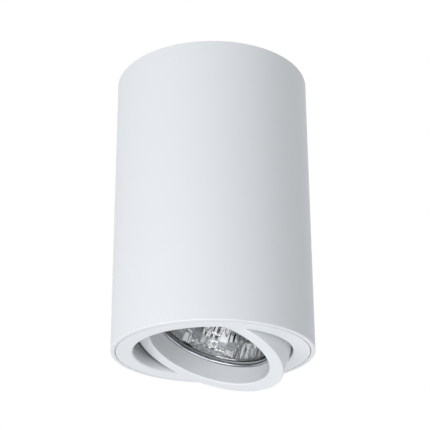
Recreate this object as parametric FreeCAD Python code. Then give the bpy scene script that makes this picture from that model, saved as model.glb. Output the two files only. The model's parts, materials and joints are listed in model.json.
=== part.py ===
"""Surface mounted ceiling spotlight: a round tube on the ceiling, with a swivelling trim and a tilting ring.

Millimetres, +Z up. The origin is the centre of the face that lies on the ceiling,
and the tube hangs below it.
"""
import FreeCAD
import Part
import math
import os

Vector = FreeCAD.Vector
UP = Vector(0, 0, 1)

# --- driving sizes --------------------------------------------------------------------------------
# Housing tube
body_diameter = 85.0
body_height = 125.0
tube_wall = 2.6
rim_wall = 1.8  # the wall beside the trim, where the tube's end is turned out to seat it
tube_edge_round = 0.4

# Named clearances
seam_gap = 0.3  # between the trim and the rim of the tube
seat_gap = 0.1  # between the trim and the shoulder that it seats on
spigot_gap = 0.3  # between the trim's spigot and the bore of the tube
running_gap = 0.05  # a shaft in its hole
thread_gap = 0.05  # a screw in its thread
touch_gap = 0.05  # pieces that are clamped face to face
bracket_gap = 0.4  # between the bracket's ears and the bore of the tube
ring_gap = 0.8  # between the tilting ring and the collar of the trim
lamp_gap = 0.85  # between the lamp and the bore of the ring, which it passes through
shoulder_gap = 0.5  # between the lamp's bowl and the lip that it rests on

# Swivelling trim
trim_thickness = 2.2
trim_edge_round = 0.9
collar_wall = 1.9
collar_height = 14.0  # from the face of the trim
collar_top_round = 0.5
spigot_wall = 1.6
spigot_height = 5.5  # from the face of the trim

# Leaf springs that hold the trim in the tube
spring_count = 3
spring_width = 8.0
spring_sheet = 0.5
spring_wall_gap = 0.3
spring_first_azimuth = 26.0
rivet_diameter = 2.4
rivet_head_diameter = 4.4
rivet_head_height = 0.8
rivet_height = 8.0  # above the face of the trim

# Tilting ring
pivot_height = 6.1  # above the face of the trim
ring_face_width = 6.2
ring_wall_height = 12.1
ring_bore_draft = 0.2  # the bore is this much smaller, in radius, at the wire's groove
ring_edge_round = 0.6
cup_wall = 3.0
cup_lip_thickness = 1.3
aim_azimuth = 116.0  # direction of the tilt axis in the photographed position, from +X towards +Y
aim_tilt = 20.0  # photographed tilt of the ring

# Pivot screws and their friction washers
pivot_shank_diameter = 3.8
pivot_thread_diameter = 3.0
pivot_thread_length = 3.6
pivot_head_diameter = 6.0
pivot_head_height = 1.8
washer_diameter = 7.6
washer_thickness = 0.7
washer_inset = 0.28  # the washer's outer face stays this far inside the bore of the collar

# Wire ring that holds the lamp
wire_diameter = 1.5
wire_depth = 8.4  # from the face of the ring to the wire's lower edge
wire_bite = 0.35  # how far the wire reaches in front of the lamp's rim
wire_gap_angle = 34.0
wire_gap_azimuth = -90.0  # the gap's direction, seen from the middle of the tube
wire_ear_length = 4.0
wire_play = 0.05  # between the wire and its groove

# Lamp: 50 mm reflector lamp with a twist and lock base
lamp_diameter = 50.7
lamp_rim_height = 3.2
lamp_front_gap = 0.45  # between the wire and the front of the lamp
lamp_length = 46.5  # from its front to the shoulder of its base
lamp_rim_wall = 1.05  # the rim beside the cover glass
cover_glass_thickness = 1.3
lamp_rim_step = 2.15  # from the edge of the rim to the bowl behind it
reflector_neck_diameter = 21.0
reflector_wall = 1.6
reflector_depth = 30.0
reflector_hole_diameter = 12.0
facets_around = 36
facet_rows = 5
capsule_diameter = 9.2
capsule_length = 19.0
capsule_stem_length = 8.0
filament_diameter = 1.4
base_front_diameter = 25.0
base_back_diameter = 22.0
base_length = 17.5
pin_spacing = 10.0
pin_neck_diameter = 3.2
pin_head_diameter = 5.0
pin_neck_length = 3.2
pin_head_length = 2.8

# Lampholder
holder_diameter = 22.4
holder_height = 14.2
holder_cover_height = 1.9
holder_slot_angle = 46.0
holder_slot_gap = 0.25
holder_slot_depth = 8.0
holder_screw_spacing = 15.0
holder_screw_diameter = 2.6
holder_screw_head_diameter = 4.6
holder_screw_head_height = 1.2
contact_sheet = 0.3
contact_width = 3.0
contact_reach = 2.6

# Ceiling bracket
bracket_sheet = 1.5
bracket_width = 22.0
ear_width = 14.0
ear_height = 13.0
shoulder_taper = 5.0
tongue_length = 31.0
tongue_width = 34.0
bend_round = 1.2
slot_spacing = 50.0
slot_width = 4.5
slot_length = 9.0
cable_hole_diameter = 12.0
grommet_bore_diameter = 8.0
grommet_flange = 1.8
grommet_lip = 1.3
grommet_recess = 0.2  # the grommet's upper lip stays this far below the ceiling

# Side screws that join the tube to the bracket
side_screw_diameter = 4.0
side_screw_length = 7.0
side_screw_drop = 8.0
side_screw_inset = 0.3  # below the outside of the tube
side_hole_gap = 0.2
hex_socket_width = 2.0
hex_socket_depth = 2.0

# Terminal block
block_poles = 3
pole_pitch = 9.2
block_end = 5.2
block_depth = 17.0
block_height = 14.5
block_centre_y = 20.0
tube_height_in_block = 7.2
terminal_outer_diameter = 5.2
terminal_bore_diameter = 3.2
terminal_screw_diameter = 2.6
terminal_screw_head_diameter = 3.6
terminal_screw_spacing = 8.6
block_screw_diameter = 3.0
block_screw_head_diameter = 5.0
block_screw_head_height = 1.8
screw_slot_width = 0.7
screw_slot_depth = 0.8

# Earth point
earth_x = 15.0
earth_y = -5.0
earth_screw_diameter = 4.0
earth_head_diameter = 7.4
earth_head_height = 2.4
earth_washer_thickness = 0.8
eyelet_sheet = 0.8
eyelet_diameter = 8.0
eyelet_tail = 7.0  # from the edge of the eyelet to the end of its barrel

# Leads
lead_diameter = 2.0
lead_spread = 5.0  # between the two leads where they leave the lampholder
sleeve_diameter = 3.0
sleeve_length = 5.5
lead_straight = 12.0  # from the back of the lampholder to the first bend
lead_reach = 2.4  # insulated length inside the terminal block
core_diameter = 1.2
core_length = 12.0  # bare wire inside the terminal block

# --- sizes that follow ----------------------------------------------------------------------------
tube_r = body_diameter / 2
bore_r = tube_r - tube_wall
rebate_r = tube_r - rim_wall
trim_r = rebate_r - seam_gap
face_z = -body_height
rebate_top = face_z + trim_thickness + seat_gap

lamp_r = lamp_diameter / 2
cover_glass_r = lamp_r - lamp_rim_wall
reflector_shoulder_r = lamp_r - lamp_rim_step
ring_bore_r = lamp_r + lamp_gap
ring_r = ring_bore_r + ring_face_width
opening_r = ring_r + ring_gap
collar_r = opening_r + collar_wall
spigot_r = bore_r - spigot_gap
pivot_z = face_z + pivot_height

washer_inner = opening_r - washer_inset - washer_thickness
flat_r = washer_inner - touch_gap

# Heights in the lamp ring's own frame, whose origin is the pivot and whose Z is the lamp's axis
ring_face = -pivot_height
wire_low = ring_face + wire_depth
wire_z = wire_low + wire_diameter / 2
wire_r = lamp_r - wire_bite + wire_diameter / 2
lamp_front = wire_low + wire_diameter + lamp_front_gap
lamp_rim_back = lamp_front + lamp_rim_height
cup_lip = lamp_rim_back + seat_gap
cup_top = cup_lip + cup_lip_thickness
lamp_back = lamp_front + lamp_length
holder_front = lamp_back + touch_gap
holder_back = holder_front + holder_height
holder_top = holder_back + touch_gap + holder_cover_height

bracket_bottom = -bracket_sheet
ear_outer = math.sqrt((bore_r - bracket_gap) ** 2 - (ear_width / 2) ** 2)
block_length = (block_poles - 1) * pole_pitch + 2 * block_end
block_top = bracket_bottom - touch_gap
block_bottom = block_top - block_height
terminal_z = block_top - tube_height_in_block


# --- helpers --------------------------------------------------------------------------------------
def at(x, y, z):
    return Vector(x, y, z)


def revolved(outline):
    """A solid of revolution about Z from a closed outline of (radius, height) points."""
    points = [at(r, 0, z) for r, z in outline]
    face = Part.Face(Part.makePolygon(points + points[:1]))
    return face.revolve(at(0, 0, 0), UP, 360)


def extruded(outline, low, height):
    """A flat plate from a closed outline of (x, y) points."""
    points = [at(x, y, low) for x, y in outline]
    return Part.Face(Part.makePolygon(points + points[:1])).extrude(at(0, 0, height))


def rod(diameter, start, end):
    """A round bar between two points."""
    along = end - start
    return Part.makeCylinder(diameter / 2, along.Length, start, along)


def box(low, high):
    return Part.makeBox(high.x - low.x, high.y - low.y, high.z - low.z, low)


def joined(pieces):
    whole = pieces[0]
    for piece in pieces[1:]:
        whole = whole.fuse(piece)
    return whole.removeSplitter()


def rounded(shape, radius, chosen):
    """The shape with a fillet on each edge that the test picks."""
    edges = [edge for edge in shape.Edges if chosen(edge)]
    return shape.makeFillet(radius, edges)


def hoop(radius, height):
    """A test for the full circle of this radius at this height."""
    def chosen(edge):
        curve = edge.Curve
        if not isinstance(curve, Part.Circle):
            return False
        return abs(curve.Radius - radius) < 0.01 and abs(curve.Center.z - height) < 0.01
    return chosen


def turned(shape, azimuth):
    """A copy turned about Z."""
    copy = shape.copy()
    copy.rotate(at(0, 0, 0), UP, azimuth)
    return copy


def around(shape, count, first=0.0):
    """The shape repeated evenly round Z."""
    return [turned(shape, first + 360.0 * i / count) for i in range(count)]


def placed_in_lamp_ring(shape):
    """Moves a shape from the lamp ring's own frame to its photographed place. Its X is the tilt axis."""
    copy = shape.copy()
    copy.rotate(at(0, 0, 0), at(1, 0, 0), aim_tilt)
    copy.rotate(at(0, 0, 0), UP, aim_azimuth)
    copy.translate(at(0, 0, pivot_z))
    return copy


def lamp_ring_point(x, y, z):
    """A point of the lamp ring's own frame, in the photographed place."""
    spin = FreeCAD.Rotation(UP, aim_azimuth) * FreeCAD.Rotation(at(1, 0, 0), aim_tilt)
    return spin.multVec(at(x, y, z)) + at(0, 0, pivot_z)


def slotted_head(screw, diameter, top, depth, width):
    """Cuts a driver slot into a screw whose head's face is at this height, from below."""
    slot = box(at(-diameter, -width / 2, top - 1), at(diameter, width / 2, top + depth))
    return screw.cut(slot)


def route(points):
    """A path through the points, with a tangent arc at each inner point."""
    edges = []
    radii = []
    start = points[0]
    for before, corner, after in zip(points, points[1:], points[2:]):
        back = before - corner
        ahead = after - corner
        turn = math.pi - back.getAngle(ahead)
        cut = 0.45 * min(back.Length, ahead.Length)
        radii.append(cut / math.tan(turn / 2))
        into = corner + back.normalize() * cut
        out = corner + ahead.normalize() * cut
        bisector = (back + ahead).normalize()
        middle_distance = radii[-1] / math.cos(turn / 2) - radii[-1]
        edges.append(Part.LineSegment(start, into).toShape())
        edges.append(Part.Arc(into, corner + bisector * middle_distance, out).toShape())
        start = out
    edges.append(Part.LineSegment(start, points[-1]).toShape())
    return Part.Wire(edges), radii


def lead_along(points, diameter):
    """A round lead that follows the route."""
    path, radii = route(points)
    section = Part.Wire([Part.Circle(points[0], points[1] - points[0], diameter / 2).toShape()])
    solid = path.makePipeShell([section], True, False)
    expected = path.Length * math.pi * diameter ** 2 / 4
    print("lead", round(path.Length, 1), "mm, tightest radius", round(min(radii), 1),
          "volume ratio", round(solid.Volume / expected, 4))
    return solid


# --- housing --------------------------------------------------------------------------------------
def housing_tube():
    outline = [(bore_r, 0), (tube_r, 0), (tube_r, face_z), (rebate_r, face_z), (rebate_r, rebate_top),
               (bore_r, rebate_top)]
    tube = rounded(revolved(outline), tube_edge_round, hoop(tube_r, face_z))
    reach = tube_r + 1
    hole = rod(side_screw_diameter + 2 * side_hole_gap, at(-reach, 0, -side_screw_drop),
               at(reach, 0, -side_screw_drop))
    return tube.cut(hole)


def bracket_outline():
    half = bracket_width / 2
    ear = ear_width / 2
    end = ear_outer
    neck = end - shoulder_taper
    foot = neck - (half - ear)
    tongue = tongue_width / 2
    return [
        (-end, -ear), (-neck, -ear), (-foot, -half), (foot, -half), (neck, -ear), (end, -ear),
        (end, ear), (neck, ear), (foot, half), (tongue, half), (tongue, tongue_length),
        (-tongue, tongue_length), (-tongue, half), (-foot, half), (-neck, ear), (-end, ear),
    ]


def upright_slot(x):
    """A slot along X through the bracket."""
    reach = (slot_length - slot_width) / 2
    low = bracket_bottom - 1
    middle = box(at(x - reach, -slot_width / 2, low), at(x + reach, slot_width / 2, 1))
    ends = [rod(slot_width, at(x + s * reach, 0, low), at(x + s * reach, 0, 1)) for s in (-1, 1)]
    return joined([middle] + ends)


def mounting_bracket():
    plate = extruded(bracket_outline(), bracket_bottom, bracket_sheet)
    corners = [at(s * tongue_width / 2, tongue_length, 0) for s in (-1, 1)]
    plate = rounded(plate, 4.0, lambda e: any(
        e.Vertexes[0].Point.distanceToPoint(at(c.x, c.y, e.Vertexes[0].Point.z)) < 0.01
        and abs(e.Vertexes[0].Point.z - e.Vertexes[-1].Point.z) > 1 for c in corners))
    ears = []
    for side in (-1, 1):
        inner = side * (ear_outer - bracket_sheet)
        low = at(min(inner, side * ear_outer), -ear_width / 2, -ear_height)
        high = at(max(inner, side * ear_outer), ear_width / 2, 0)
        ears.append(box(low, high))
    bracket = joined([plate] + ears)
    bracket = rounded(bracket, bend_round, lambda e: abs(e.CenterOfMass.z) < 0.01
                      and abs(abs(e.CenterOfMass.x) - ear_outer) < 0.01)
    bracket = rounded(bracket, 3.0, lambda e: abs(e.CenterOfMass.z + ear_height) < 0.01
                      and abs(abs(e.CenterOfMass.y) - ear_width / 2) < 0.01)
    for x in (-slot_spacing / 2, slot_spacing / 2):
        bracket = bracket.cut(upright_slot(x))
    holes = [rod(cable_hole_diameter, at(0, 0, bracket_bottom - 1), at(0, 0, 1))]
    holes.append(rod(earth_screw_diameter + 2 * thread_gap, at(earth_x, earth_y, bracket_bottom - 1),
                     at(earth_x, earth_y, 1)))
    for x in block_screw_places():
        holes.append(rod(block_screw_diameter + 2 * thread_gap, at(x, block_centre_y, bracket_bottom - 1),
                         at(x, block_centre_y, 1)))
    reach = ear_outer + 1
    holes.append(rod(side_screw_diameter + 2 * thread_gap, at(-reach, 0, -side_screw_drop),
                     at(reach, 0, -side_screw_drop)))
    for hole in holes:
        bracket = bracket.cut(hole)
    return bracket


def side_screws():
    """Hexagon socket screws, turned out from the ears into the holes of the tube."""
    outer = tube_r - side_screw_inset
    screw = rod(side_screw_diameter, at(outer - side_screw_length, 0, -side_screw_drop),
                at(outer, 0, -side_screw_drop))
    point = [edge for edge in screw.Edges if abs(edge.CenterOfMass.x - outer + side_screw_length) < 0.01
             and isinstance(edge.Curve, Part.Circle)]
    screw = screw.makeChamfer(0.6, point)
    corners = []
    for i in range(6):
        angle = math.radians(60 * i)
        across = hex_socket_width / math.sqrt(3)
        corners.append(at(outer - hex_socket_depth, across * math.cos(angle),
                          across * math.sin(angle) - side_screw_drop))
    socket = Part.Face(Part.makePolygon(corners + corners[:1])).extrude(at(hex_socket_depth + 1, 0, 0))
    return around(screw.cut(socket), 2)


def cable_grommet():
    hole_r = cable_hole_diameter / 2
    bore = grommet_bore_diameter / 2
    flange_r = hole_r + grommet_flange
    low = bracket_bottom - grommet_lip
    top = -grommet_recess
    waist = hole_r - touch_gap
    outline = [(bore, low), (flange_r, low), (flange_r, bracket_bottom - touch_gap),
               (waist, bracket_bottom - touch_gap),
               (waist, top), (bore, top)]
    return rounded(revolved(outline), 0.5, hoop(flange_r, low))


# --- terminal block and earth point ---------------------------------------------------------------
def pole_places():
    return [pole_pitch * (i - (block_poles - 1) / 2) for i in range(block_poles)]


def block_screw_places():
    poles = pole_places()
    return [(a + b) / 2 for a, b in zip(poles, poles[1:])]


def terminal_block():
    front = block_centre_y - block_depth / 2
    back = block_centre_y + block_depth / 2
    base_height = tube_height_in_block + terminal_outer_diameter / 2 + 1.0
    low = block_top - base_height
    block = box(at(-block_length / 2, front, low), at(block_length / 2, back, block_top))
    towers = []
    for x in pole_places():
        for y in terminal_screw_rows():
            towers.append(rod(terminal_screw_head_diameter + 2.4, at(x, y, block_bottom),
                              at(x, y, low + 0.5)))
    block = joined([block] + towers)
    for x in pole_places():
        block = block.cut(rod(terminal_outer_diameter + 2 * touch_gap, at(x, front - 1, terminal_z),
                              at(x, back + 1, terminal_z)))
        for y in terminal_screw_rows():
            block = block.cut(rod(terminal_screw_head_diameter + 2 * touch_gap, at(x, y, block_bottom - 1),
                                  at(x, y, terminal_z)))
    for x in block_screw_places():
        block = block.cut(rod(block_screw_diameter + 0.3, at(x, block_centre_y, low - 1),
                              at(x, block_centre_y, block_top + 1)))
        for y in (front, back):
            notch = rod(1.6, at(x, y, low - 1), at(x, y, block_top + 1))
            block = block.cut(notch)
    return block


def terminal_screw_rows():
    return [block_centre_y + s * terminal_screw_spacing / 2 for s in (-1, 1)]


def terminal_tubes():
    length = block_depth - 2.0
    tubes = []
    for x in pole_places():
        start = at(x, block_centre_y - length / 2, terminal_z)
        end = at(x, block_centre_y + length / 2, terminal_z)
        step = at(0, 1, 0)
        tube = rod(terminal_outer_diameter, start, end)
        tube = tube.cut(rod(terminal_bore_diameter, start - step, end + step))
        for y in terminal_screw_rows():
            tube = tube.cut(rod(terminal_screw_diameter + 2 * thread_gap, at(x, y, terminal_z - 4),
                                at(x, y, terminal_z)))
        tubes.append(tube)
    return tubes


def terminal_screws():
    """Clamping screws, driven from below. Each stops above the bare wire or the empty bore's middle."""
    screws = []
    head_low = block_bottom + 1.2
    tip = terminal_z - core_diameter / 2 - touch_gap
    for x in pole_places():
        for y in terminal_screw_rows():
            neck = terminal_z - terminal_outer_diameter / 2 - touch_gap - 0.2
            head = rod(terminal_screw_head_diameter, at(0, 0, head_low), at(0, 0, neck))
            screw = joined([head, rod(terminal_screw_diameter, at(0, 0, head_low), at(0, 0, tip))])
            screw = slotted_head(screw, terminal_screw_head_diameter, head_low,
                                 screw_slot_depth, screw_slot_width)
            screw.translate(at(x, y, 0))
            screws.append(screw)
    return screws


def block_screws():
    low = block_top - tube_height_in_block - terminal_outer_diameter / 2 - 1.0
    screws = []
    for x in block_screw_places():
        head_low = low - touch_gap - block_screw_head_height
        head = rod(block_screw_head_diameter, at(0, 0, head_low), at(0, 0, low - touch_gap))
        head = rounded(head, 0.6, hoop(block_screw_head_diameter / 2, head_low))
        screw = joined([head, rod(block_screw_diameter, at(0, 0, head_low + 0.7), at(0, 0, -0.1))])
        screw = slotted_head(screw, block_screw_head_diameter, head_low, screw_slot_depth, screw_slot_width)
        screw.translate(at(x, block_centre_y, 0))
        screws.append(screw)
    return screws


def eyelet_top():
    return bracket_bottom - touch_gap


def washer_top():
    return eyelet_top() - eyelet_sheet - touch_gap


def earth_screw():
    head_top = washer_top() - earth_washer_thickness - touch_gap
    head_low = head_top - earth_head_height
    head = rounded(rod(earth_head_diameter, at(0, 0, head_low), at(0, 0, head_top)), 0.9,
                   hoop(earth_head_diameter / 2, head_low))
    screw = joined([head, rod(earth_screw_diameter, at(0, 0, head_top - 0.5), at(0, 0, -0.1))])
    screw = slotted_head(screw, earth_head_diameter, head_low, 1.1, 1.0)
    screw.translate(at(earth_x, earth_y, 0))
    return screw


def earth_washer():
    """A toothed washer: a ring with teeth cut round its edge."""
    outer = earth_head_diameter / 2
    inner = earth_screw_diameter / 2 + 0.15
    low = washer_top() - earth_washer_thickness
    washer = rod(2 * outer, at(0, 0, low), at(0, 0, washer_top()))
    washer = washer.cut(rod(2 * inner, at(0, 0, low - 1), at(0, 0, 0)))
    notch = box(at(outer - 0.7, -0.35, low - 1), at(outer + 1, 0.35, 0))
    for cut in around(notch, 12):
        washer = washer.cut(cut)
    washer.translate(at(earth_x, earth_y, 0))
    return washer


def earth_tail_direction():
    """The eyelet's tail points away from the terminal block."""
    return at(0, -1, 0)


def earth_eyelet():
    top = eyelet_top()
    low = top - eyelet_sheet
    ring = rod(eyelet_diameter, at(0, 0, low), at(0, 0, top))
    tail = box(at(0, -1.6, low), at(eyelet_diameter / 2 + 1.5, 1.6, top))
    reach = eyelet_diameter / 2 + eyelet_tail
    middle = top - (lead_diameter + 1.2) / 2
    barrel = rod(lead_diameter + 1.2, at(eyelet_diameter / 2 + 1.0, 0, middle), at(reach, 0, middle))
    eyelet = joined([ring, tail, barrel])
    eyelet = eyelet.cut(rod(earth_screw_diameter + 0.3, at(0, 0, low - 1), at(0, 0, 0)))
    socket_start = eyelet_diameter / 2 + 2.6
    socket = rod(lead_diameter + 2 * touch_gap, at(socket_start, 0, middle), at(reach + 1, 0, middle))
    eyelet = eyelet.cut(socket)
    tail_azimuth = math.degrees(math.atan2(earth_tail_direction().y, earth_tail_direction().x))
    eyelet.rotate(at(0, 0, 0), UP, tail_azimuth)
    eyelet.translate(at(earth_x, earth_y, 0))
    return eyelet


def terminal_mouth(pole):
    """Where a lead's insulation ends inside a pole of the block, and the block's face on that side."""
    x = pole_places()[pole]
    face = block_centre_y - block_depth / 2
    return at(x, face + lead_reach, terminal_z), at(x, face, terminal_z)


def with_core(lead, pole):
    """The lead with its bare end, which the pole's screws clamp."""
    inside, _ = terminal_mouth(pole)
    core = rod(core_diameter, inside - at(0, 0.5, 0), inside + at(0, core_length, 0))
    return joined([lead, core])


def earth_lead():
    """From the eyelet away from the block, round a half turn and back to the middle pole."""
    inside, face = terminal_mouth(1)
    middle = eyelet_top() - (lead_diameter + 1.2) / 2
    start = at(earth_x, earth_y, middle) + earth_tail_direction() * (eyelet_diameter / 2 + 3.0)
    half_turn = (earth_x - face.x) / 2
    level = (middle + terminal_z) / 2
    far = start.y - 12.3
    points = [start, at(earth_x, far, middle), at(face.x + half_turn, far - 4.4, level),
              at(face.x, far, terminal_z),
              at(face.x - 1.2, far + 11.3, terminal_z - 0.6), at(face.x, face.y - 11.5, terminal_z), inside]
    return with_core(lead_along(points, lead_diameter), 1)


# --- swivelling trim ------------------------------------------------------------------------------
def trim_ring():
    """Flat annulus with a deep collar round the tilting ring and a short spigot that centres it."""
    back = face_z + trim_thickness
    collar_top = face_z + collar_height
    spigot_top = face_z + spigot_height
    spigot_inner = spigot_r - spigot_wall
    outline = [(opening_r, face_z), (trim_r, face_z), (trim_r, back), (spigot_r, back),
               (spigot_r, spigot_top), (spigot_inner, spigot_top), (spigot_inner, back),
               (collar_r, back), (collar_r, collar_top),
               (opening_r, collar_top)]
    trim = rounded(revolved(outline), trim_edge_round, hoop(opening_r, face_z))
    for radius in (opening_r, collar_r):
        trim = rounded(trim, collar_top_round, hoop(radius, collar_top))
    reach = collar_r + 1
    bore = rod(pivot_shank_diameter + 2 * running_gap, at(-reach, 0, pivot_z), at(reach, 0, pivot_z))
    trim = trim.cut(turned(bore, aim_azimuth))
    height = face_z + rivet_height
    hole = rod(rivet_diameter + 2 * running_gap, at(opening_r - 1, 0, height), at(reach, 0, height))
    for cut in around(hole, spring_count, spring_first_azimuth):
        trim = trim.cut(cut)
    return trim


def spring_bump_r():
    """The outermost radius of a spring's middle, so that its corners clear the tube."""
    return math.sqrt((bore_r - spring_wall_gap) ** 2 - (spring_width / 2) ** 2)


def spring_seat_r():
    return collar_r + touch_gap


def trim_springs():
    """Bowed leaf springs on the collar that grip the bore of the tube."""
    seat = spring_seat_r() + spring_sheet
    collar_top = face_z + collar_height
    bump = spring_bump_r()
    height = face_z + rivet_height
    outer = [(seat, height - 3.0), (seat, collar_top - 1.0), (bump - 0.8, collar_top + 5.0),
             (bump, collar_top + 7.0), (bump - 0.4, collar_top + 8.5), (seat + 0.6, collar_top + 13.0)]
    inner = [(r - spring_sheet, z) for r, z in reversed(outer)]
    points = [at(r, -spring_width / 2, z) for r, z in outer + inner]
    leaf = Part.Face(Part.makePolygon(points + points[:1])).extrude(at(0, spring_width, 0))
    hole = rod(rivet_diameter + 2 * running_gap, at(seat - 2, 0, height), at(seat + 2, 0, height))
    return around(leaf.cut(hole), spring_count, spring_first_azimuth)


def spring_rivets():
    """Flush inside the collar, with a round head on the spring."""
    seat = spring_seat_r() + spring_sheet + touch_gap
    height = face_z + rivet_height
    head = rod(rivet_head_diameter, at(seat, 0, height), at(seat + rivet_head_height, 0, height))
    shank = rod(rivet_diameter, at(opening_r + 0.1, 0, height), at(seat + 0.2, 0, height))
    return around(joined([head, shank]), spring_count, spring_first_azimuth)


# --- tilting ring ---------------------------------------------------------------------------------
def tilt_ring():
    """Bezel, wire groove, lamp seat and cup, turned as one casting."""
    wall_top = ring_face + ring_wall_height
    neck_r = ring_bore_r - ring_bore_draft
    groove_r = wire_r + wire_diameter / 2 + 2 * wire_play
    groove_low = wire_low - wire_play
    groove_top = wire_low + wire_diameter + wire_play
    cup_r = neck_r + cup_wall
    lip_r = reflector_shoulder_r + shoulder_gap
    outline = [(ring_bore_r, ring_face), (ring_r, ring_face), (ring_r, wall_top), (cup_r, wall_top),
               (cup_r, cup_top), (lip_r, cup_top), (lip_r, cup_lip), (neck_r, cup_lip),
               (neck_r, groove_top), (groove_r, groove_top), (groove_r, groove_low), (neck_r, groove_low)]
    ring = revolved(outline)
    for radius, height in ((ring_r, ring_face), (ring_bore_r, ring_face), (ring_r, wall_top)):
        ring = rounded(ring, ring_edge_round, hoop(radius, height))
    for side in (-1, 1):
        spot = rod(washer_diameter + 0.6, at(side * flat_r, 0, 0), at(side * (ring_r + 1), 0, 0))
        tip = flat_r - pivot_thread_length - 0.5
        thread = rod(pivot_thread_diameter + 2 * thread_gap, at(side * tip, 0, 0),
                     at(side * (ring_r + 1), 0, 0))
        ring = ring.cut(spot).cut(thread)
    return placed_in_lamp_ring(ring)


def pivot_screws():
    """Shoulder screws. The shank turns in the trim's collar, and the thread holds the ring."""
    shank_start = washer_inner
    head_start = collar_r + touch_gap
    thread = rod(pivot_thread_diameter, at(flat_r - pivot_thread_length, 0, 0), at(shank_start + 0.1, 0, 0))
    shank = rod(pivot_shank_diameter, at(shank_start, 0, 0), at(head_start + 0.1, 0, 0))
    head_end = head_start + pivot_head_height
    head = rod(pivot_head_diameter, at(head_start, 0, 0), at(head_end, 0, 0))
    edge = [e for e in head.Edges if isinstance(e.Curve,
                                                Part.Circle) and abs(e.CenterOfMass.x - head_end) < 0.01]
    head = head.makeFillet(0.5, edge)
    slot = box(at(head_end - 0.9, -pivot_head_diameter, -0.4), at(head_end + 1, pivot_head_diameter, 0.4))
    screw = joined([thread, shank, head]).cut(slot)
    return [placed_in_lamp_ring(turned(screw, angle)) for angle in (0, 180)]


def friction_washers():
    washer = rod(washer_diameter, at(washer_inner, 0, 0), at(washer_inner + washer_thickness, 0, 0))
    washer = washer.cut(rod(pivot_shank_diameter + 2 * running_gap, at(washer_inner - 1, 0, 0),
                            at(collar_r, 0, 0)))
    return [placed_in_lamp_ring(turned(washer, angle)) for angle in (0, 180)]


def lamp_retaining_wire():
    """A split ring of round wire. Its ends turn inwards as finger ears, on the side away from the view."""
    half_gap = wire_gap_angle / 2
    middle = wire_gap_azimuth - aim_azimuth
    start_angle = math.radians(middle + half_gap)
    end_angle = math.radians(middle - half_gap + 360)
    centre_angle = (start_angle + end_angle) / 2

    def on_ring(angle, radius=wire_r):
        return at(radius * math.cos(angle), radius * math.sin(angle), wire_z)

    arc = Part.Arc(on_ring(start_angle), on_ring(centre_angle), on_ring(end_angle)).toShape()
    tangent = at(-math.sin(start_angle), math.cos(start_angle), 0)
    section = Part.Wire([Part.Circle(on_ring(start_angle), tangent, wire_diameter / 2).toShape()])
    ring = Part.Wire([arc]).makePipeShell([section], True, False)
    pieces = [ring]
    for angle in (start_angle, end_angle):
        pieces.append(Part.makeSphere(wire_diameter / 2, on_ring(angle)))
        pieces.append(rod(wire_diameter, on_ring(angle), on_ring(angle, wire_r - wire_ear_length)))
    return placed_in_lamp_ring(joined(pieces))


# --- lamp -----------------------------------------------------------------------------------------
def reflector_curve(share):
    """Inner radius and height of the reflector, at a share from the cover glass, 0, to the neck hole, 1."""
    front_r = cover_glass_r - 1.0
    hole_r = reflector_hole_diameter / 2
    depth = reflector_depth - cover_glass_thickness
    angle = share * math.pi / 2
    radius = hole_r + (front_r - hole_r) * math.cos(angle) ** 0.8 if share < 1 else hole_r
    height = lamp_front + cover_glass_thickness + depth * math.sin(angle) ** 1.35
    return radius, height


def facet_ring(share):
    """One ring of facet corners."""
    radius, height = reflector_curve(share)
    corners = []
    for i in range(facets_around):
        angle = 2 * math.pi * i / facets_around
        corners.append(at(radius * math.cos(angle), radius * math.sin(angle), height))
    return corners


def reflector_cavity():
    """The faceted inside of the bowl: rows of flat facets from the cover glass to the neck."""
    rings = [facet_ring(row / facet_rows) for row in range(facet_rows + 1)]
    faces = [Part.Face(Part.makePolygon(ring + ring[:1])) for ring in (rings[0], rings[-1])]
    for near, far in zip(rings, rings[1:]):
        for i in range(facets_around):
            j = (i + 1) % facets_around
            faces.append(Part.Face(Part.makePolygon([near[i], near[j], far[j], far[i], near[i]])))
    solid = Part.makeSolid(Part.makeShell(faces))
    if solid.Volume < 0:
        solid.reverse()
    return solid


def lamp_reflector():
    """Pressed glass bowl with a stepped rim, a seat for the cover glass and a neck."""
    shoulder_r = reflector_shoulder_r
    neck_r = reflector_neck_diameter / 2
    bowl_back = lamp_front + reflector_depth + reflector_wall
    seat_r = cover_glass_r + touch_gap
    seat_z = lamp_front + cover_glass_thickness
    start = at(shoulder_r, 0, lamp_rim_back)
    middle = at(neck_r + 0.74 * (shoulder_r - neck_r), 0,
                lamp_rim_back + 0.62 * (bowl_back - lamp_rim_back))
    end = at(neck_r, 0, bowl_back)
    side = [
        Part.LineSegment(at(0, 0, lamp_front), at(lamp_r, 0, lamp_front)).toShape(),
        Part.LineSegment(at(lamp_r, 0, lamp_front), at(lamp_r, 0, lamp_rim_back)).toShape(),
        Part.LineSegment(at(lamp_r, 0, lamp_rim_back), start).toShape(),
        Part.Arc(start, middle, end).toShape(),
        Part.LineSegment(end, at(0, 0, bowl_back)).toShape(),
        Part.LineSegment(at(0, 0, bowl_back), at(0, 0, lamp_front)).toShape(),
    ]
    bowl = Part.Face(Part.Wire(side)).revolve(at(0, 0, 0), UP, 360)
    bowl = rounded(bowl, 0.5, hoop(lamp_r, lamp_front))
    seat = rod(2 * seat_r, at(0, 0, lamp_front - 1), at(0, 0, seat_z))
    throat = rod(reflector_hole_diameter, at(0, 0, seat_z + 1), at(0, 0, bowl_back + 1))
    return placed_in_lamp_ring(bowl.cut(seat).cut(reflector_cavity()).cut(throat))


def lamp_front_glass():
    glass = rod(2 * cover_glass_r, at(0, 0, lamp_front),
                at(0, 0, lamp_front + cover_glass_thickness - touch_gap))
    glass = rounded(glass, 0.4, hoop(cover_glass_r, lamp_front))
    return placed_in_lamp_ring(glass)


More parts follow.
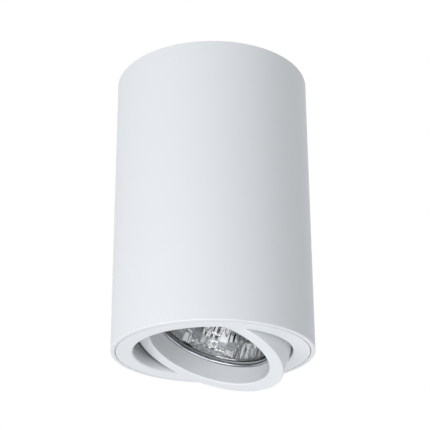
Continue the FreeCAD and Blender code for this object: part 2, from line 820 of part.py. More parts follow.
def stem_top():
    return lamp_front + reflector_depth + reflector_wall + capsule_stem_length - 4.0


def lamp_capsule():
    """Quartz capsule: a round bulb with a domed tip, necked down to a flat pinch."""
    capsule_r = capsule_diameter / 2
    top = stem_top()
    bulb_back = top - capsule_stem_length
    tip = bulb_back - capsule_length + capsule_r
    bulb = rod(capsule_diameter, at(0, 0, tip), at(0, 0, bulb_back))
    dome = Part.makeSphere(capsule_r, at(0, 0, tip))
    shoulder = Part.makeCone(capsule_r, 2.2, 2.5, at(0, 0, bulb_back), UP)
    pinch = box(at(-3.6, -1.5, bulb_back + 0.5), at(3.6, 1.5, top))
    hollow = joined([rod(capsule_diameter - 2, at(0, 0, tip), at(0, 0, bulb_back - 0.5)),
                     Part.makeSphere(capsule_r - 1, at(0, 0, tip))])
    return placed_in_lamp_ring(joined([bulb, dome, shoulder, pinch]).cut(hollow))


def lamp_filament():
    """The coiled filament as a fine rod across the capsule, on its two legs."""
    capsule_back = stem_top() - capsule_stem_length
    middle = capsule_back - 0.55 * capsule_length
    span = (capsule_diameter - 2) / 2 - 0.8
    coil = rod(filament_diameter, at(-span, 0, middle), at(span, 0, middle))
    legs = [rod(0.5, at(s * (span - 0.3), 0, middle),
                at(s * (span - 0.3), 0, capsule_back - 0.55)) for s in (-1, 1)]
    return placed_in_lamp_ring(joined([coil] + legs))


def lamp_base():
    """Ceramic base: a tapered cap with a socket for the reflector's neck and the capsule's pinch."""
    front = lamp_back - base_length
    cap = Part.makeCone(base_front_diameter / 2, base_back_diameter / 2, base_length, at(0, 0, front), UP)
    cap = rounded(cap, 0.8, hoop(base_back_diameter / 2, lamp_back))
    neck = lamp_front + reflector_depth + reflector_wall
    socket = rod(reflector_neck_diameter + 2 * touch_gap, at(0, 0, front - 1), at(0, 0, neck + touch_gap))
    pinch = box(at(-3.8, -1.7, neck - 1), at(3.8, 1.7, stem_top() + touch_gap))
    bowl = lamp_bowl_outside()
    return placed_in_lamp_ring(cap.cut(socket).cut(pinch).cut(bowl))


def lamp_bowl_outside():
    """The space of the reflector's bowl, a little larger, which the base's edge fits round."""
    shoulder_r = reflector_shoulder_r + touch_gap
    neck_r = reflector_neck_diameter / 2 + touch_gap
    bowl_back = lamp_front + reflector_depth + reflector_wall
    start = at(shoulder_r, 0, lamp_rim_back)
    middle = at(neck_r + 0.74 * (shoulder_r - neck_r), 0,
                lamp_rim_back + 0.62 * (bowl_back - lamp_rim_back))
    end = at(neck_r, 0, bowl_back)
    side = [
        Part.LineSegment(at(0, 0, lamp_rim_back), start).toShape(),
        Part.Arc(start, middle, end).toShape(),
        Part.LineSegment(end, at(0, 0, bowl_back)).toShape(),
        Part.LineSegment(at(0, 0, bowl_back), at(0, 0, lamp_rim_back)).toShape(),
    ]
    return Part.Face(Part.Wire(side)).revolve(at(0, 0, 0), UP, 360)


def lamp_pins():
    pins = []
    for side in (-1, 1):
        x = side * pin_spacing / 2
        neck = rod(pin_neck_diameter, at(x, 0, lamp_back + touch_gap),
                   at(x, 0, lamp_back + pin_neck_length + 0.2))
        head_low = lamp_back + pin_neck_length
        head = rod(pin_head_diameter, at(x, 0, head_low), at(x, 0, head_low + pin_head_length))
        pins.append(placed_in_lamp_ring(joined([neck, head])))
    return pins


# --- lampholder -----------------------------------------------------------------------------------
def pin_slot(side):
    """A curved keyhole for one pin: round where the pin enters, and a sector that it turns into."""
    radius = pin_spacing / 2
    half = pin_head_diameter / 2 + holder_slot_gap
    sector = rod(2 * (radius + half), at(0, 0, holder_front - 1),
                 at(0, 0, holder_front + holder_slot_depth))
    sector = sector.cut(rod(2 * (radius - half), at(0, 0, holder_front - 2),
                            at(0, 0, holder_front + holder_slot_depth + 1)))
    reach = 2 * holder_diameter
    angle = math.radians(holder_slot_angle)
    wedge = extruded([(0, 0), (reach, 0), (reach * math.cos(angle), reach * math.sin(angle))],
                     holder_front - 1, holder_slot_depth + 1)
    ends = [rod(2 * half, at(radius * math.cos(a), radius * math.sin(a), holder_front - 1),
                at(radius * math.cos(a), radius * math.sin(a),
                   holder_front + holder_slot_depth)) for a in (0, angle)]
    return turned(joined([sector.common(wedge)] + ends), 0 if side > 0 else 180)


def lampholder_body():
    body = rod(holder_diameter, at(0, 0, holder_front), at(0, 0, holder_back))
    body = rounded(body, 0.8, hoop(holder_diameter / 2, holder_front))
    for side in (-1, 1):
        body = body.cut(pin_slot(side))
        y = side * holder_screw_spacing / 2
        body = body.cut(rod(holder_screw_diameter + 2 * thread_gap, at(0, y, holder_back - 7),
                            at(0, y, holder_back + 1)))
        x = side * lead_spread / 2
        body = body.cut(rod(lead_diameter + 0.4, at(x, 0, holder_front + holder_slot_depth - 1),
                            at(x, 0, holder_back + 1)))
    return placed_in_lamp_ring(body)


def lampholder_contacts():
    """A folded contact spring between the floor of each slot and the end of its pin."""
    springs = []
    floor = holder_front + holder_slot_depth - touch_gap
    pin_end = lamp_back + pin_neck_length + pin_head_length + touch_gap
    half = contact_width / 2
    inner = pin_spacing / 2 - contact_reach / 2
    for side in (-1, 1):
        foot = box(at(inner, -half, floor - contact_sheet), at(inner + contact_reach, half, floor))
        rise = box(at(inner, -half, pin_end), at(inner + contact_sheet, half, floor))
        leaf = box(at(inner, -half, pin_end), at(inner + contact_reach, half, pin_end + contact_sheet))
        spring = joined([foot, rise, leaf])
        springs.append(placed_in_lamp_ring(turned(spring, 0 if side > 0 else 180)))
    return springs


def lampholder_cover():
    low = holder_back + touch_gap
    cover = rod(holder_diameter, at(0, 0, low), at(0, 0, holder_top))
    cover = rounded(cover, 0.6, hoop(holder_diameter / 2, holder_top))
    for side in (-1, 1):
        y = side * holder_screw_spacing / 2
        cover = cover.cut(rod(holder_screw_diameter + 0.3, at(0, y, low - 1), at(0, y, holder_top + 1)))
        x = side * lead_spread / 2
        cover = cover.cut(rod(sleeve_diameter + 2 * touch_gap, at(x, 0, low - 1), at(x, 0, holder_top + 1)))
    return placed_in_lamp_ring(cover)


def lampholder_screws():
    screws = []
    for side in (-1, 1):
        y = side * holder_screw_spacing / 2
        head_low = holder_top + touch_gap
        head_top = head_low + holder_screw_head_height
        head = rounded(rod(holder_screw_head_diameter, at(0, 0, head_low), at(0, 0, head_top)), 0.4,
                       hoop(holder_screw_head_diameter / 2, head_top))
        screw = joined([head, rod(holder_screw_diameter, at(0, 0, holder_back - 6),
                                  at(0, 0, head_low + 0.2))])
        slot = box(at(-4, -screw_slot_width / 2, head_top - 0.6), at(4, screw_slot_width / 2, head_top + 1))
        screw = screw.cut(slot)
        screw.translate(at(0, y, 0))
        screws.append(placed_in_lamp_ring(screw))
    return screws


# --- leads ----------------------------------------------------------------------------------------
def lead_points(side, pole, bends):
    """From inside the lampholder, straight out of its back, through the bends and into a pole of the block.

    A bend is its x, its y and its share of the way down from the block to the end of the straight stretch.
    """
    x = side * lead_spread / 2
    start = lamp_ring_point(x, 0, holder_back - 2.5)
    out = lamp_ring_point(x, 0, holder_top + lead_straight)
    inside, face = terminal_mouth(pole)
    corners = [at(x, y, terminal_z + share * (out.z - terminal_z)) for x, y, share in bends]
    return [start, out] + corners + [at(face.x, face.y - 11.0, terminal_z), inside]


def live_lead():
    lead = lead_along(lead_points(-1, 0, [(19.0, -2.0, 0.67), (8.0, -10.0, 0.42), (-4.0, -9.5, 0.2)]),
                      lead_diameter)
    return with_core(lead, 0)


def neutral_lead():
    lead = lead_along(lead_points(1, 2, [(16.0, 6.0, 0.62), (13.0, -4.0, 0.3)]), lead_diameter)
    return with_core(lead, 2)


def lead_sleeves():
    """Heat-resisting sleeves over the leads where they leave the lampholder."""
    sleeves = []
    for side in (-1, 1):
        x = side * lead_spread / 2
        low = holder_back + touch_gap
        sleeve = rod(sleeve_diameter, at(x, 0, low), at(x, 0, low + sleeve_length))
        sleeve = sleeve.cut(rod(lead_diameter + 2 * touch_gap, at(x, 0, low - 1),
                                at(x, 0, low + sleeve_length + 1)))
        sleeves.append(placed_in_lamp_ring(sleeve))
    return sleeves


# --- output ---------------------------------------------------------------------------------------
PIECES = [
    housing_tube, mounting_bracket, side_screws, cable_grommet, terminal_block, terminal_tubes,
    terminal_screws,
    block_screws, earth_screw, earth_washer, earth_eyelet, earth_lead, trim_ring, trim_springs,
    spring_rivets,
    tilt_ring, pivot_screws, friction_washers, lamp_retaining_wire, lamp_front_glass, lamp_reflector,
    lamp_capsule,
    lamp_filament, lamp_base, lamp_pins, lampholder_body, lampholder_contacts, lampholder_cover,
    lampholder_screws,
    live_lead, neutral_lead, lead_sleeves,
]


def main():
    os.makedirs("parts", exist_ok=True)
    for make in PIECES:
        made = make()
        shape = Part.makeCompound(made) if isinstance(made, list) else made
        if not shape.isValid() or not shape.Solids:
            raise RuntimeError(make.__name__ + " isn't a valid solid")
        shape.exportStep("parts/" + make.__name__ + ".step")
        print(make.__name__, len(shape.Solids), "solids", round(shape.Volume, 1), "mm3")


main()
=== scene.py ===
"""Finishes and fine pieces of a surface mounted ceiling spotlight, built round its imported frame.

Metres, +Z up. The origin is the centre of the face on the ceiling. Sizes named _MM are millimetres.
"""
import json
import math

import bmesh
import bpy
from bpy.props import FloatProperty, FloatVectorProperty, IntProperty, PointerProperty
from mathutils import Euler, Matrix, Vector


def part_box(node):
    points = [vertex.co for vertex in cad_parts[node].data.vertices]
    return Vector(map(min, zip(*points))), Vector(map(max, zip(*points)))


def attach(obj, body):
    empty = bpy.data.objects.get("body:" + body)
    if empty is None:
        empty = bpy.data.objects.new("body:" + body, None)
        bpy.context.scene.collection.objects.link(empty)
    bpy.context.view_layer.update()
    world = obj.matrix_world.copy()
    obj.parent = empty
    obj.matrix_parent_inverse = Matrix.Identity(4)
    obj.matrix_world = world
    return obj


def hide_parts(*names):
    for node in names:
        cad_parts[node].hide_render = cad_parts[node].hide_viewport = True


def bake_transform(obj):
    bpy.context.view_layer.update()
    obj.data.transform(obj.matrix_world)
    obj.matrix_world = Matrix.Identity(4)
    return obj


bl_info = {
    "name": "Ceiling spotlight",
    "version": (1, 0, 0),
    "blender": (4, 5, 0),
    "location": "View3D > Sidebar > Spotlight",
    "description": "Finishes and fine pieces of a surface mounted ceiling spotlight",
    "category": "Object",
}

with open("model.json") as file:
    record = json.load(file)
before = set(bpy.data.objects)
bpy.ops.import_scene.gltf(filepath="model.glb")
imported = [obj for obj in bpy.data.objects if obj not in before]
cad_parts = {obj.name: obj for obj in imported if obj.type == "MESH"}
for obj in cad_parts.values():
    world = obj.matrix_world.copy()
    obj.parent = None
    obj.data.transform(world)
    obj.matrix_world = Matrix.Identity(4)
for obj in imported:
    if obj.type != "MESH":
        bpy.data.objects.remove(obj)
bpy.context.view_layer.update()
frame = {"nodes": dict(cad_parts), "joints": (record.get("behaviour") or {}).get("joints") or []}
NODES = frame["nodes"]
MM = 0.001

# The lamp ring's own frame: its origin is the pivot, its X the tilt axis and its Z the lamp's axis
AIM_DEG = 20.0
TILT_JOINT = next(joint for joint in frame["joints"] if joint["name"] == "ring_tilt")
TILT_AXIS = TILT_JOINT["axis"]
PIVOT = Vector(TILT_JOINT["pos_m"])
AIM_TURN = Euler((math.radians(AIM_DEG), 0, math.atan2(TILT_AXIS[1], TILT_AXIS[0])))
LAMP = Matrix.Translation(PIVOT) @ AIM_TURN.to_matrix().to_4x4()


# --- node trees ---
class Value:
    """A node's output that takes part in Python sums."""

    def __init__(self, tree, socket):
        self.tree = tree
        self.socket = socket

    def output(self, name):
        """Another output of the same node."""
        return Value(self.tree, find_socket(self.socket.node.outputs, name))

    def __add__(self, other):
        return self.tree.math("ADD", self, other)

    __radd__ = __add__

    def __sub__(self, other):
        return self.tree.math("SUBTRACT", self, other)

    def __rsub__(self, other):
        return self.tree.math("SUBTRACT", other, self)

    def __mul__(self, other):
        return self.tree.math("MULTIPLY", self, other)

    __rmul__ = __mul__

    def __truediv__(self, other):
        return self.tree.math("DIVIDE", self, other)

    def __rtruediv__(self, other):
        return self.tree.math("DIVIDE", other, self)

    def __pow__(self, other):
        return self.tree.math("POWER", self, other)

    def __gt__(self, other):
        return self.tree.math("GREATER_THAN", self, other)


def find_socket(sockets, name):
    """A socket by its number, identifier or name."""
    if isinstance(name, int):
        return sockets[name]
    for socket in sockets:
        if socket.enabled and name in (socket.identifier, socket.name):
            return socket
    raise KeyError(f"no socket named {name}")


class Tree:
    """Adds nodes to a shader or geometry node tree."""

    def __init__(self, node_tree):
        self.nodes = node_tree.nodes
        self.links = node_tree.links

    def add(self, kind, settings=None, inputs=None, output=0):
        """A node of this type, with its settings and the values or links of its sockets."""
        node = self.nodes.new(kind)
        for name, value in (settings or {}).items():
            if name == "stops":
                ramp = node.color_ramp
                while len(ramp.elements) < len(value):
                    ramp.elements.new(1.0)
                for stop, (place, colour) in zip(ramp.elements, value):
                    stop.position = place
                    stop.color = colour
            else:
                setattr(node, name, value)
        for name, value in (inputs or {}).items():
            socket = find_socket(node.inputs, name)
            for part in value if isinstance(value, list) else [value]:
                if isinstance(part, Value):
                    self.links.new(part.socket, socket)
                else:
                    socket.default_value = part
        return Value(self, find_socket(node.outputs, output)) if len(node.outputs) else None

    def math(self, operation, *values):
        return self.add("ShaderNodeMath", {"operation": operation}, dict(enumerate(values)))

    # Patterns of the finishes
    def place(self):
        """Object coordinates, which are metres on every piece."""
        return self.add("ShaderNodeTexCoord", output="Object")

    def lamp_place(self):
        """Object coordinates turned into the lamp ring's own frame."""
        inputs = {"Vector": self.place(), "Location": PIVOT, "Rotation": AIM_TURN}
        return self.add("ShaderNodeMapping", {"vector_type": "TEXTURE"}, inputs)

    def stretched(self, place, scale):
        return self.add("ShaderNodeMapping", inputs={"Vector": place, "Scale": scale})

    def noise(self, place, size_mm, detail=2.0, roughness=0.5):
        """Noise from 0 to 1 whose features are about this large."""
        inputs = {"Vector": place, "Scale": 1 / (size_mm * MM), "Detail": detail,
                  "Roughness": roughness}
        return self.add("ShaderNodeTexNoise", inputs=inputs)

    def part_of(self, vector, axis):
        return self.add("ShaderNodeSeparateXYZ", inputs={"Vector": vector}, output=axis)

    def parts(self, vector):
        return [self.part_of(vector, axis) for axis in "XYZ"]

    def blend(self, share, low, high):
        """A colour between two, by a share from 0 to 1."""
        inputs = {"Factor_Float": share, "A_Color": low, "B_Color": high}
        return self.add("ShaderNodeMix", {"data_type": "RGBA"}, inputs, "Result_Color")

    def surface(self, sockets, height=None, depth_mm=0.0):
        """Ends a finish in its shader, with a bump of this depth."""
        sockets = dict(sockets)
        if height is not None:
            inputs = {"Height": height, "Distance": depth_mm * MM, "Strength": 1.0}
            sockets["Normal"] = self.add("ShaderNodeBump", inputs=inputs)
        self.end(self.add("ShaderNodeBsdfPrincipled", inputs=sockets))

    def end(self, shader):
        self.add("ShaderNodeOutputMaterial", inputs={"Surface": shader})


def finish(name):
    """An empty material and its tree."""
    material = bpy.data.materials.new(name)
    material.use_nodes = True
    material.node_tree.nodes.clear()
    return material, Tree(material.node_tree)


def rgb(colour, share=1.0):
    """A colour for a socket, darkened or lightened by a share."""
    return (*(min(1.0, part * share) for part in colour[:3]), 1.0)


# --- finishes ---
# The drift of the coat's tone; the grey of the painted shade in the deep gap behind the trim's face,
# its share, and how soon it reaches full strength
DRIFT_MM = 60.0
PAINTED_GAP_SHADE_TONE = (0.16, 0.165, 0.175, 1)
PAINTED_GAP_SHADE_SHARE = 0.85
PAINTED_GAP_SHADE_FADE_MM = 4.0

CRYSTALS_PER_M = 280.0
CRYSTAL_BEND_M = 0.0016
GLASS_SMEAR = 0.004
BRIGHTEST_FACET = 1.06
SPECKLE_MM = 0.35
SPECKLE_TONE = (0.20, 0.16, 0.12, 1)

# The reflector's outside: its rim's tone, which is painted shade for the dark gap between the wire
# ring and the glass, its bowl's two, and the height from one to the other
PAINTED_RIM_SHADE = (0.055, 0.058, 0.065, 1)
BOWL_TONES = ((0.34, 0.36, 0.42, 1), (0.52, 0.50, 0.58, 1))
BOWL_FADE_MM = 50.0

# What sets the tone of each flute, and of each row in it, apart from the others
FLUTE_SHIFT = 3.5
ROW_SHIFT = 57.0

# A metal's low and high tone, its roughness, how close its lines are along X, Y and Z, and whether
# those are the lamp's own X, Y and Z
METALS = {
    "spring_steel": ((0.42, 0.43, 0.45, 1), (0.60, 0.61, 0.62, 1), 0.28, (30.0, 30.0, 900.0)),
    "polished_wire": ((0.30, 0.31, 0.33, 1), (0.44, 0.45, 0.47, 1), 0.20, (60.0, 60.0, 800.0), True),
    "screw_steel": ((0.66, 0.67, 0.69, 1), (0.80, 0.81, 0.82, 1), 0.26, (900.0, 900.0, 900.0)),
    "brass": ((0.62, 0.44, 0.17, 1), (0.80, 0.61, 0.29, 1), 0.26, (60.0, 1200.0, 60.0)),
    "bronze_contact": ((0.55, 0.33, 0.18, 1), (0.74, 0.49, 0.30, 1), 0.30, (400.0, 40.0, 400.0)),
    "pin_nickel": ((0.60, 0.57, 0.52, 1), (0.76, 0.73, 0.68, 1), 0.22, (500.0, 500.0, 60.0), True),
    "tungsten": ((0.16, 0.155, 0.15, 1), (0.30, 0.29, 0.28, 1), 0.42, (3.0, 3.0, 0.4), True),
}

# A moulding's low and high tone, its roughness, its grain's size and depth, and its speckles' share
MOULDINGS = {
    "black_rubber": ((0.014, 0.014, 0.015, 1), (0.035, 0.035, 0.036, 1), 0.72, 0.3, 0.02, 0.0),
    "block_nylon": ((0.74, 0.73, 0.68, 1), (0.84, 0.83, 0.79, 1), 0.40, 0.2, 0.005, 0.0),
    "washer_nylon": ((0.70, 0.70, 0.68, 1), (0.80, 0.80, 0.78, 1), 0.45, 0.2, 0.005, 0.0),
    "lamp_ceramic": ((0.74, 0.70, 0.62, 1), (0.84, 0.81, 0.74, 1), 0.58, 0.3, 0.02, 0.35),
    "holder_ceramic": ((0.68, 0.64, 0.55, 1), (0.80, 0.77, 0.69, 1), 0.42, 0.3, 0.012, 0.5),
}

# A glass's tint and index of refraction
GLASSES = {
    "cover_glass": ((0.985, 0.995, 0.995, 1), 1.5),
    "quartz": ((0.99, 0.99, 1.0, 1), 1.46),
}


def powder_coat(props):
    """Satin powder coat: a fine orange peel with a finer grain, a faint drift in its tone, and painted
    shade in the deep gap behind the trim's face.
    """
    material, tree = finish("white_powder_coat_finish")
    place = tree.place()
    peel = tree.noise(place, props.peel_size, 1.0)
    grain = tree.noise(place, props.peel_size / 4, 2.0)
    drift = tree.noise(place, DRIFT_MM, 2.0)
    share = drift * 0.7 + grain * 0.3
    tone = tree.blend(share, rgb(props.coat_colour, 0.985), rgb(props.coat_colour, 1.01))
    # Painted shade: the deep gap behind the trim's face is coloured towards grey to stand in for the
    # shade that falls there
    x, y, z = tree.parts(place)
    radius = tree.math("SQRT", x * x + y * y)
    ring = (radius > props.gap_shade_inner) * (1 - (radius > props.gap_shade_outer))
    gap = ring * (1 - (z > props.gap_shade_top))
    fade = (z - props.gap_shade_height) / (PAINTED_GAP_SHADE_FADE_MM * MM)
    deep = tree.math("MINIMUM", tree.math("MAXIMUM", fade, 0.0), 1.0)
    sockets = {
        "Base Color": tree.blend(gap * deep * PAINTED_GAP_SHADE_SHARE, tone, PAINTED_GAP_SHADE_TONE),
        "Roughness": props.coat_roughness + (grain - 0.5) * 0.12,
        "Specular IOR Level": 0.5,
    }
    tree.surface(sockets, peel * 0.75 + grain * 0.25, props.peel_depth)
    return material


def zinc_plate():
    """Galvanised sheet: flat crystals a few millimetres across, each with its own tone."""
    material, tree = finish("zinc_steel_finish")
    place = tree.place()
    wobble = tree.add("ShaderNodeVectorMath", {"operation": "SCALE"},
                      {0: tree.noise(place, 3.0).output("Color"), "Scale": CRYSTAL_BEND_M})
    bent = tree.add("ShaderNodeVectorMath", {"operation": "ADD"}, {0: place, 1: wobble})
    crystal = tree.add("ShaderNodeTexVoronoi", inputs={"Vector": bent, "Scale": CRYSTALS_PER_M},
                       output="Color")
    tone = tree.part_of(crystal, "X")
    dust = tree.noise(place, 0.6, 3.0)
    sockets = {
        "Base Color": tree.blend(tone, (0.50, 0.52, 0.54, 1), (0.68, 0.70, 0.71, 1)),
        "Metallic": 1.0,
        "Roughness": 0.30 + tone * 0.16 + dust * 0.08,
    }
    tree.surface(sockets, tone * 0.4 + dust * 0.6, 0.006)
    return material


def drawn_metal(name, low, high, roughness, scale, lamp=False):
    """Metal with fine draw or turning lines, along the axis with the smallest scale."""
    material, tree = finish(name)
    place = tree.lamp_place() if lamp else tree.place()
    lines = tree.noise(tree.stretched(place, scale), 1000.0, 3.0, 0.65)
    stain = tree.noise(place, 2.5, 2.0)
    sockets = {
        "Base Color": tree.blend(stain * 0.6 + lines * 0.4, low, high),
        "Metallic": 1.0,
        "Roughness": roughness + (lines - 0.5) * 0.18 + (stain - 0.5) * 0.08,
    }
    tree.surface(sockets, lines, 0.003)
    return material


def moulded(name, low, high, roughness, grain_mm, depth_mm, speckle):
    """Moulded plastic, rubber or fired ceramic: soft grain, flow tones and, on ceramic, speckles."""
    material, tree = finish(name)
    place = tree.place()
    flow = tree.noise(place, 6.0, 3.0)
    grain = tree.noise(place, grain_mm, 3.0, 0.6)
    colour = tree.blend(flow * 0.7 + grain * 0.3, low, high)
    if speckle:
        spots = tree.noise(place, SPECKLE_MM, 1.0) > 0.72
        colour = tree.blend(spots * speckle, colour, SPECKLE_TONE)
    sockets = {"Base Color": colour, "Roughness": roughness + (grain - 0.5) * 0.2}
    tree.surface(sockets, grain, depth_mm)
    return material


def clear_glass(name, tint, ior):
    """Glass with a faint smear on its surface, and a pressed surface's slow ripple."""
    material, tree = finish(name)
    place = tree.place()
    sockets = {
        "Base Color": tint,
        "Transmission Weight": 1.0,
        "IOR": ior,
        "Roughness": tree.noise(place, 9.0, 2.0) * GLASS_SMEAR,
    }
    tree.surface(sockets, tree.noise(place, 14.0, 0.0), 0.004)
    return material


def mirror_facets(props):
    """The reflector's inside: a thin bright coating, whose tone differs from facet to facet."""
    material, tree = finish("reflector_mirror_finish")
    place = tree.lamp_place()
    x, y, z = tree.parts(place)
    turn = tree.math("ARCTAN2", y, x) * (props.facet_count / math.tau)
    flute = tree.math("FLOOR", turn + 0.5)
    climb = tree.math("MAXIMUM", (z / MM - GLASS_SEAT_MM) / BOWL_RISE_MM, 0.0)
    rise = tree.math("MINIMUM", climb ** (1 / BOWL_RISE_POWER), 1.0)
    row = tree.math("FLOOR", tree.math("ARCSINE", rise) * (props.facet_rows * 2 / math.pi))
    by_flute, by_facet = (tree.add("ShaderNodeTexWhiteNoise", {"noise_dimensions": "1D"}, {"W": seed})
                          for seed in (flute + FLUTE_SHIFT, flute + row * ROW_SHIFT))
    tone = by_flute * 0.8 + by_facet * 0.2
    marks = tree.noise(place, 0.5, 2.0)
    tones = [rgb(props.mirror_colour, share) for share in (props.mirror_low, BRIGHTEST_FACET)]
    sockets = {
        "Base Color": tree.blend(tone, *tones),
        "Metallic": 1.0,
        "Roughness": 0.01 + marks * 0.02,
    }
    tree.surface(sockets, tree.noise(place, 1.6, 1.0), 0.0015)
    return material


def pressed_glass():
    """The reflector's outside: pressed glass that shows the grey-violet back of the coating, with a
    rim painted near black as shade in the gap behind the wire ring.
    """
    material, tree = finish("reflector_glass_finish")
    place = tree.lamp_place()
    height = tree.part_of(place, "Z")
    flow = tree.noise(place, 4.0, 3.0)
    bowl = tree.blend(height / (BOWL_FADE_MM * MM) + flow * 0.4, *BOWL_TONES)
    sockets = {
        # Painted shade: below the rim's back the glass is near black, for the shadow in the gap
        # between the wire ring and the glass
        "Base Color": tree.blend(height > RIM_BACK_MM * MM, PAINTED_RIM_SHADE, bowl),
        "Metallic": 0.55,
        "Roughness": 0.14 + flow * 0.12,
        "Coat Weight": 0.6,
    }
    tree.surface(sockets, flow, 0.03)
    return material


def silicone(name, *colours):
    """A lead's silicone: dusted, with faint lines along it, and a second colour in its stripe."""
    material, tree = finish(name)
    around, along = (tree.add("ShaderNodeAttribute", {"attribute_name": label}, output="Fac")
                     for label in ("around", "along"))
    lines = tree.add("ShaderNodeCombineXYZ", inputs={"X": around * 40.0, "Y": along * 120.0})
    drawn = tree.noise(lines, 1000.0, 2.0)
    dust = tree.noise(tree.place(), 1.2, 3.0)
    tones = [tree.blend(dust, rgb(colour, 0.86), rgb(colour, 1.12)) for colour in colours]
    base = tones[0] if len(tones) == 1 else tree.blend(around > 0.5, *tones)
    sockets = {"Base Color": base, "Roughness": 0.42 + dust * 0.2, "Specular IOR Level": 0.45}
    tree.surface(sockets, drawn * 0.6 + dust * 0.4, 0.012)
    return material


def braid_fibre():
    """Varnished glass fibre: fine yarn lines along each strand."""
    material, tree = finish("glass_fibre_finish")
    place = tree.lamp_place()
    yarn = tree.noise(place, 0.12, 3.0)
    share = tree.noise(place, 1.5, 2.0) * 0.5 + yarn * 0.5
    sockets = {
        "Base Color": tree.blend(share, (0.66, 0.60, 0.47, 1), (0.84, 0.80, 0.69, 1)),
        "Roughness": 0.48 + yarn * 0.2,
    }
    tree.surface(sockets, yarn, 0.02)
    return material


FINISHED = {}


def put_on(slot, material):
    """The finish of a material slot, for CAD nodes and new pieces alike."""
    FINISHED[slot] = material
    for node in NODES.values():
        for holder in node.material_slots:
            if holder.material and holder.material.name == slot:
                holder.material = material


def put_on_each(table, make):
    """The finishes of a table's slots."""
    for slot, settings in table.items():
        put_on(slot, make(slot + "_finish", *settings))


# --- meshes ---
def in_scene(name, data):
    item = bpy.data.objects.new(name, data)
    bpy.context.scene.collection.objects.link(item)
    return item


def object_from(name, mesh, body, slot, *replaced):
    """A finished piece at the origin that rides on a body, or on none."""
    piece = in_scene(name, mesh)
    if body:
        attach(piece, body)
    if replaced:
        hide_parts(*replaced)
    return piece


EDGE_DEG = 35.0


def smoothed(mesh, angle=EDGE_DEG):
    """Smooth shading, kept sharp where faces meet at more than this angle."""
    mesh.shade_smooth()
    mesh.set_sharp_from_angle(angle=math.radians(angle))
    return mesh


def node_group(name, inputs):
    """A geometry node tree with named inputs, its helper and each input's value."""
    group = bpy.data.node_groups.new(name, "GeometryNodeTree")
    group.interface.new_socket("Geometry", in_out="INPUT", socket_type="NodeSocketGeometry")
    for label, kind in inputs.items():
        group.interface.new_socket(label, in_out="INPUT", socket_type="NodeSocket" + kind)
    group.interface.new_socket("Geometry", in_out="OUTPUT", socket_type="NodeSocketGeometry")
    tree = Tree(group)
    given = tree.add("NodeGroupInput")
    return group, tree, {label: given.output(label) for label in ["Geometry", *inputs]}


def end_group(tree, geometry, material, weld=None):
    """Realizes the tree's instances, welds their seams and gives them their material."""
    real = tree.add("GeometryNodeRealizeInstances", inputs={"Geometry": geometry})
    if weld is not None:
        real = tree.add("GeometryNodeMergeByDistance", inputs={"Geometry": real, "Distance": weld})
    last = tree.add("GeometryNodeSetMaterial", inputs={"Geometry": real, "Material": material})
    tree.add("NodeGroupOutput", inputs={"Geometry": last})


def grown(name, source, group, values):
    """The mesh that a geometry node tree makes from a source mesh or curve."""
    holder = in_scene(name + "_source", source)
    modifier = holder.modifiers.new(name, "NODES")
    modifier.node_group = group
    for item in group.interface.items_tree:
        if item.in_out == "INPUT" and item.name in values:
            modifier[item.identifier] = values[item.name]
    view = bpy.context.evaluated_depsgraph_get()
    mesh = bpy.data.meshes.new_from_object(holder.evaluated_get(view), depsgraph=view)
    mesh.name = name
    mesh.materials.clear()
    mesh.materials.append(values["Material"])
    mesh.polygons.foreach_set("material_index", [0] * len(mesh.polygons))
    holder.modifiers.remove(modifier)
    bpy.data.objects.remove(holder)
    return mesh


def mesh_of(name, shape, *materials):
    """A mesh of a finished bmesh."""
    mesh = bpy.data.meshes.new(name)
    shape.to_mesh(mesh)
    shape.free()
    for material in materials:
        mesh.materials.append(material)
    return mesh


def joined_mesh(name, meshes):
    """One mesh from several, with their materials."""
    shape = bmesh.new()
    materials = []
    for mesh in meshes:
        start = len(shape.faces)
        shape.from_mesh(mesh)
        shape.faces.ensure_lookup_table()
        materials += [material for material in mesh.materials if material not in materials]
        places = [materials.index(material) for material in mesh.materials]
        for face in shape.faces[start:]:
            face.material_index = places[face.material_index] if places else 0
    return mesh_of(name, shape, *materials)


def round_z(tree, geometry, count):
    """Copies of a geometry, set evenly round Z."""
    points = tree.add("GeometryNodeMeshLine", inputs={"Count": count, "Offset": (0, 0, 0)})
    index = tree.add("GeometryNodeInputIndex")
    turn = tree.add("ShaderNodeCombineXYZ", inputs={"Z": index * math.tau / count})
    inputs = {"Points": points, "Instance": geometry, "Rotation": turn}
    return tree.add("GeometryNodeInstanceOnPoints", inputs=inputs)


def round_pattern_group():
    """Repeats a gore evenly round Z and welds the seams."""
    inputs = {"Count": "Int", "Weld": "Float", "Material": "Material"}
    group, tree, given = node_group("round_pattern", inputs)
    copies = round_z(tree, given["Geometry"], given["Count"])
    end_group(tree, copies, given["Material"], given["Weld"])
    return group


# A coil's steps in each turn, and its wire's sides
COIL_STEPS = 20
WIRE_SIDES = 8


def coil_group():
    """A wire wound in an even helix along Z, or several of them side by side round Z."""
    sizes = dict.fromkeys(("Radius", "Length", "Turns", "Wire", "Flatness"), "Float")
    inputs = {**sizes, "Count": "Int", "Reverse": "Bool", "Material": "Material"}
    group, tree, given = node_group("coil", inputs)
    helix = tree.add("GeometryNodeCurveSpiral", inputs={
        "Resolution": COIL_STEPS, "Rotations": given["Turns"], "Start Radius": given["Radius"],
        "End Radius": given["Radius"], "Height": given["Length"], "Reverse": given["Reverse"]})
    section = tree.add("GeometryNodeCurvePrimitiveCircle",
                       inputs={"Resolution": WIRE_SIDES, "Radius": given["Wire"]})
    flat = tree.add("ShaderNodeCombineXYZ", inputs={"X": given["Flatness"], "Y": 1.0, "Z": 1.0})
    pressed = tree.add("GeometryNodeTransform", inputs={"Geometry": section, "Scale": flat})
    wire = tree.add("GeometryNodeCurveToMesh",
                    inputs={"Curve": helix, "Profile Curve": pressed, "Fill Caps": True})
    end_group(tree, round_z(tree, wire, given["Count"]), given["Material"])
    return group


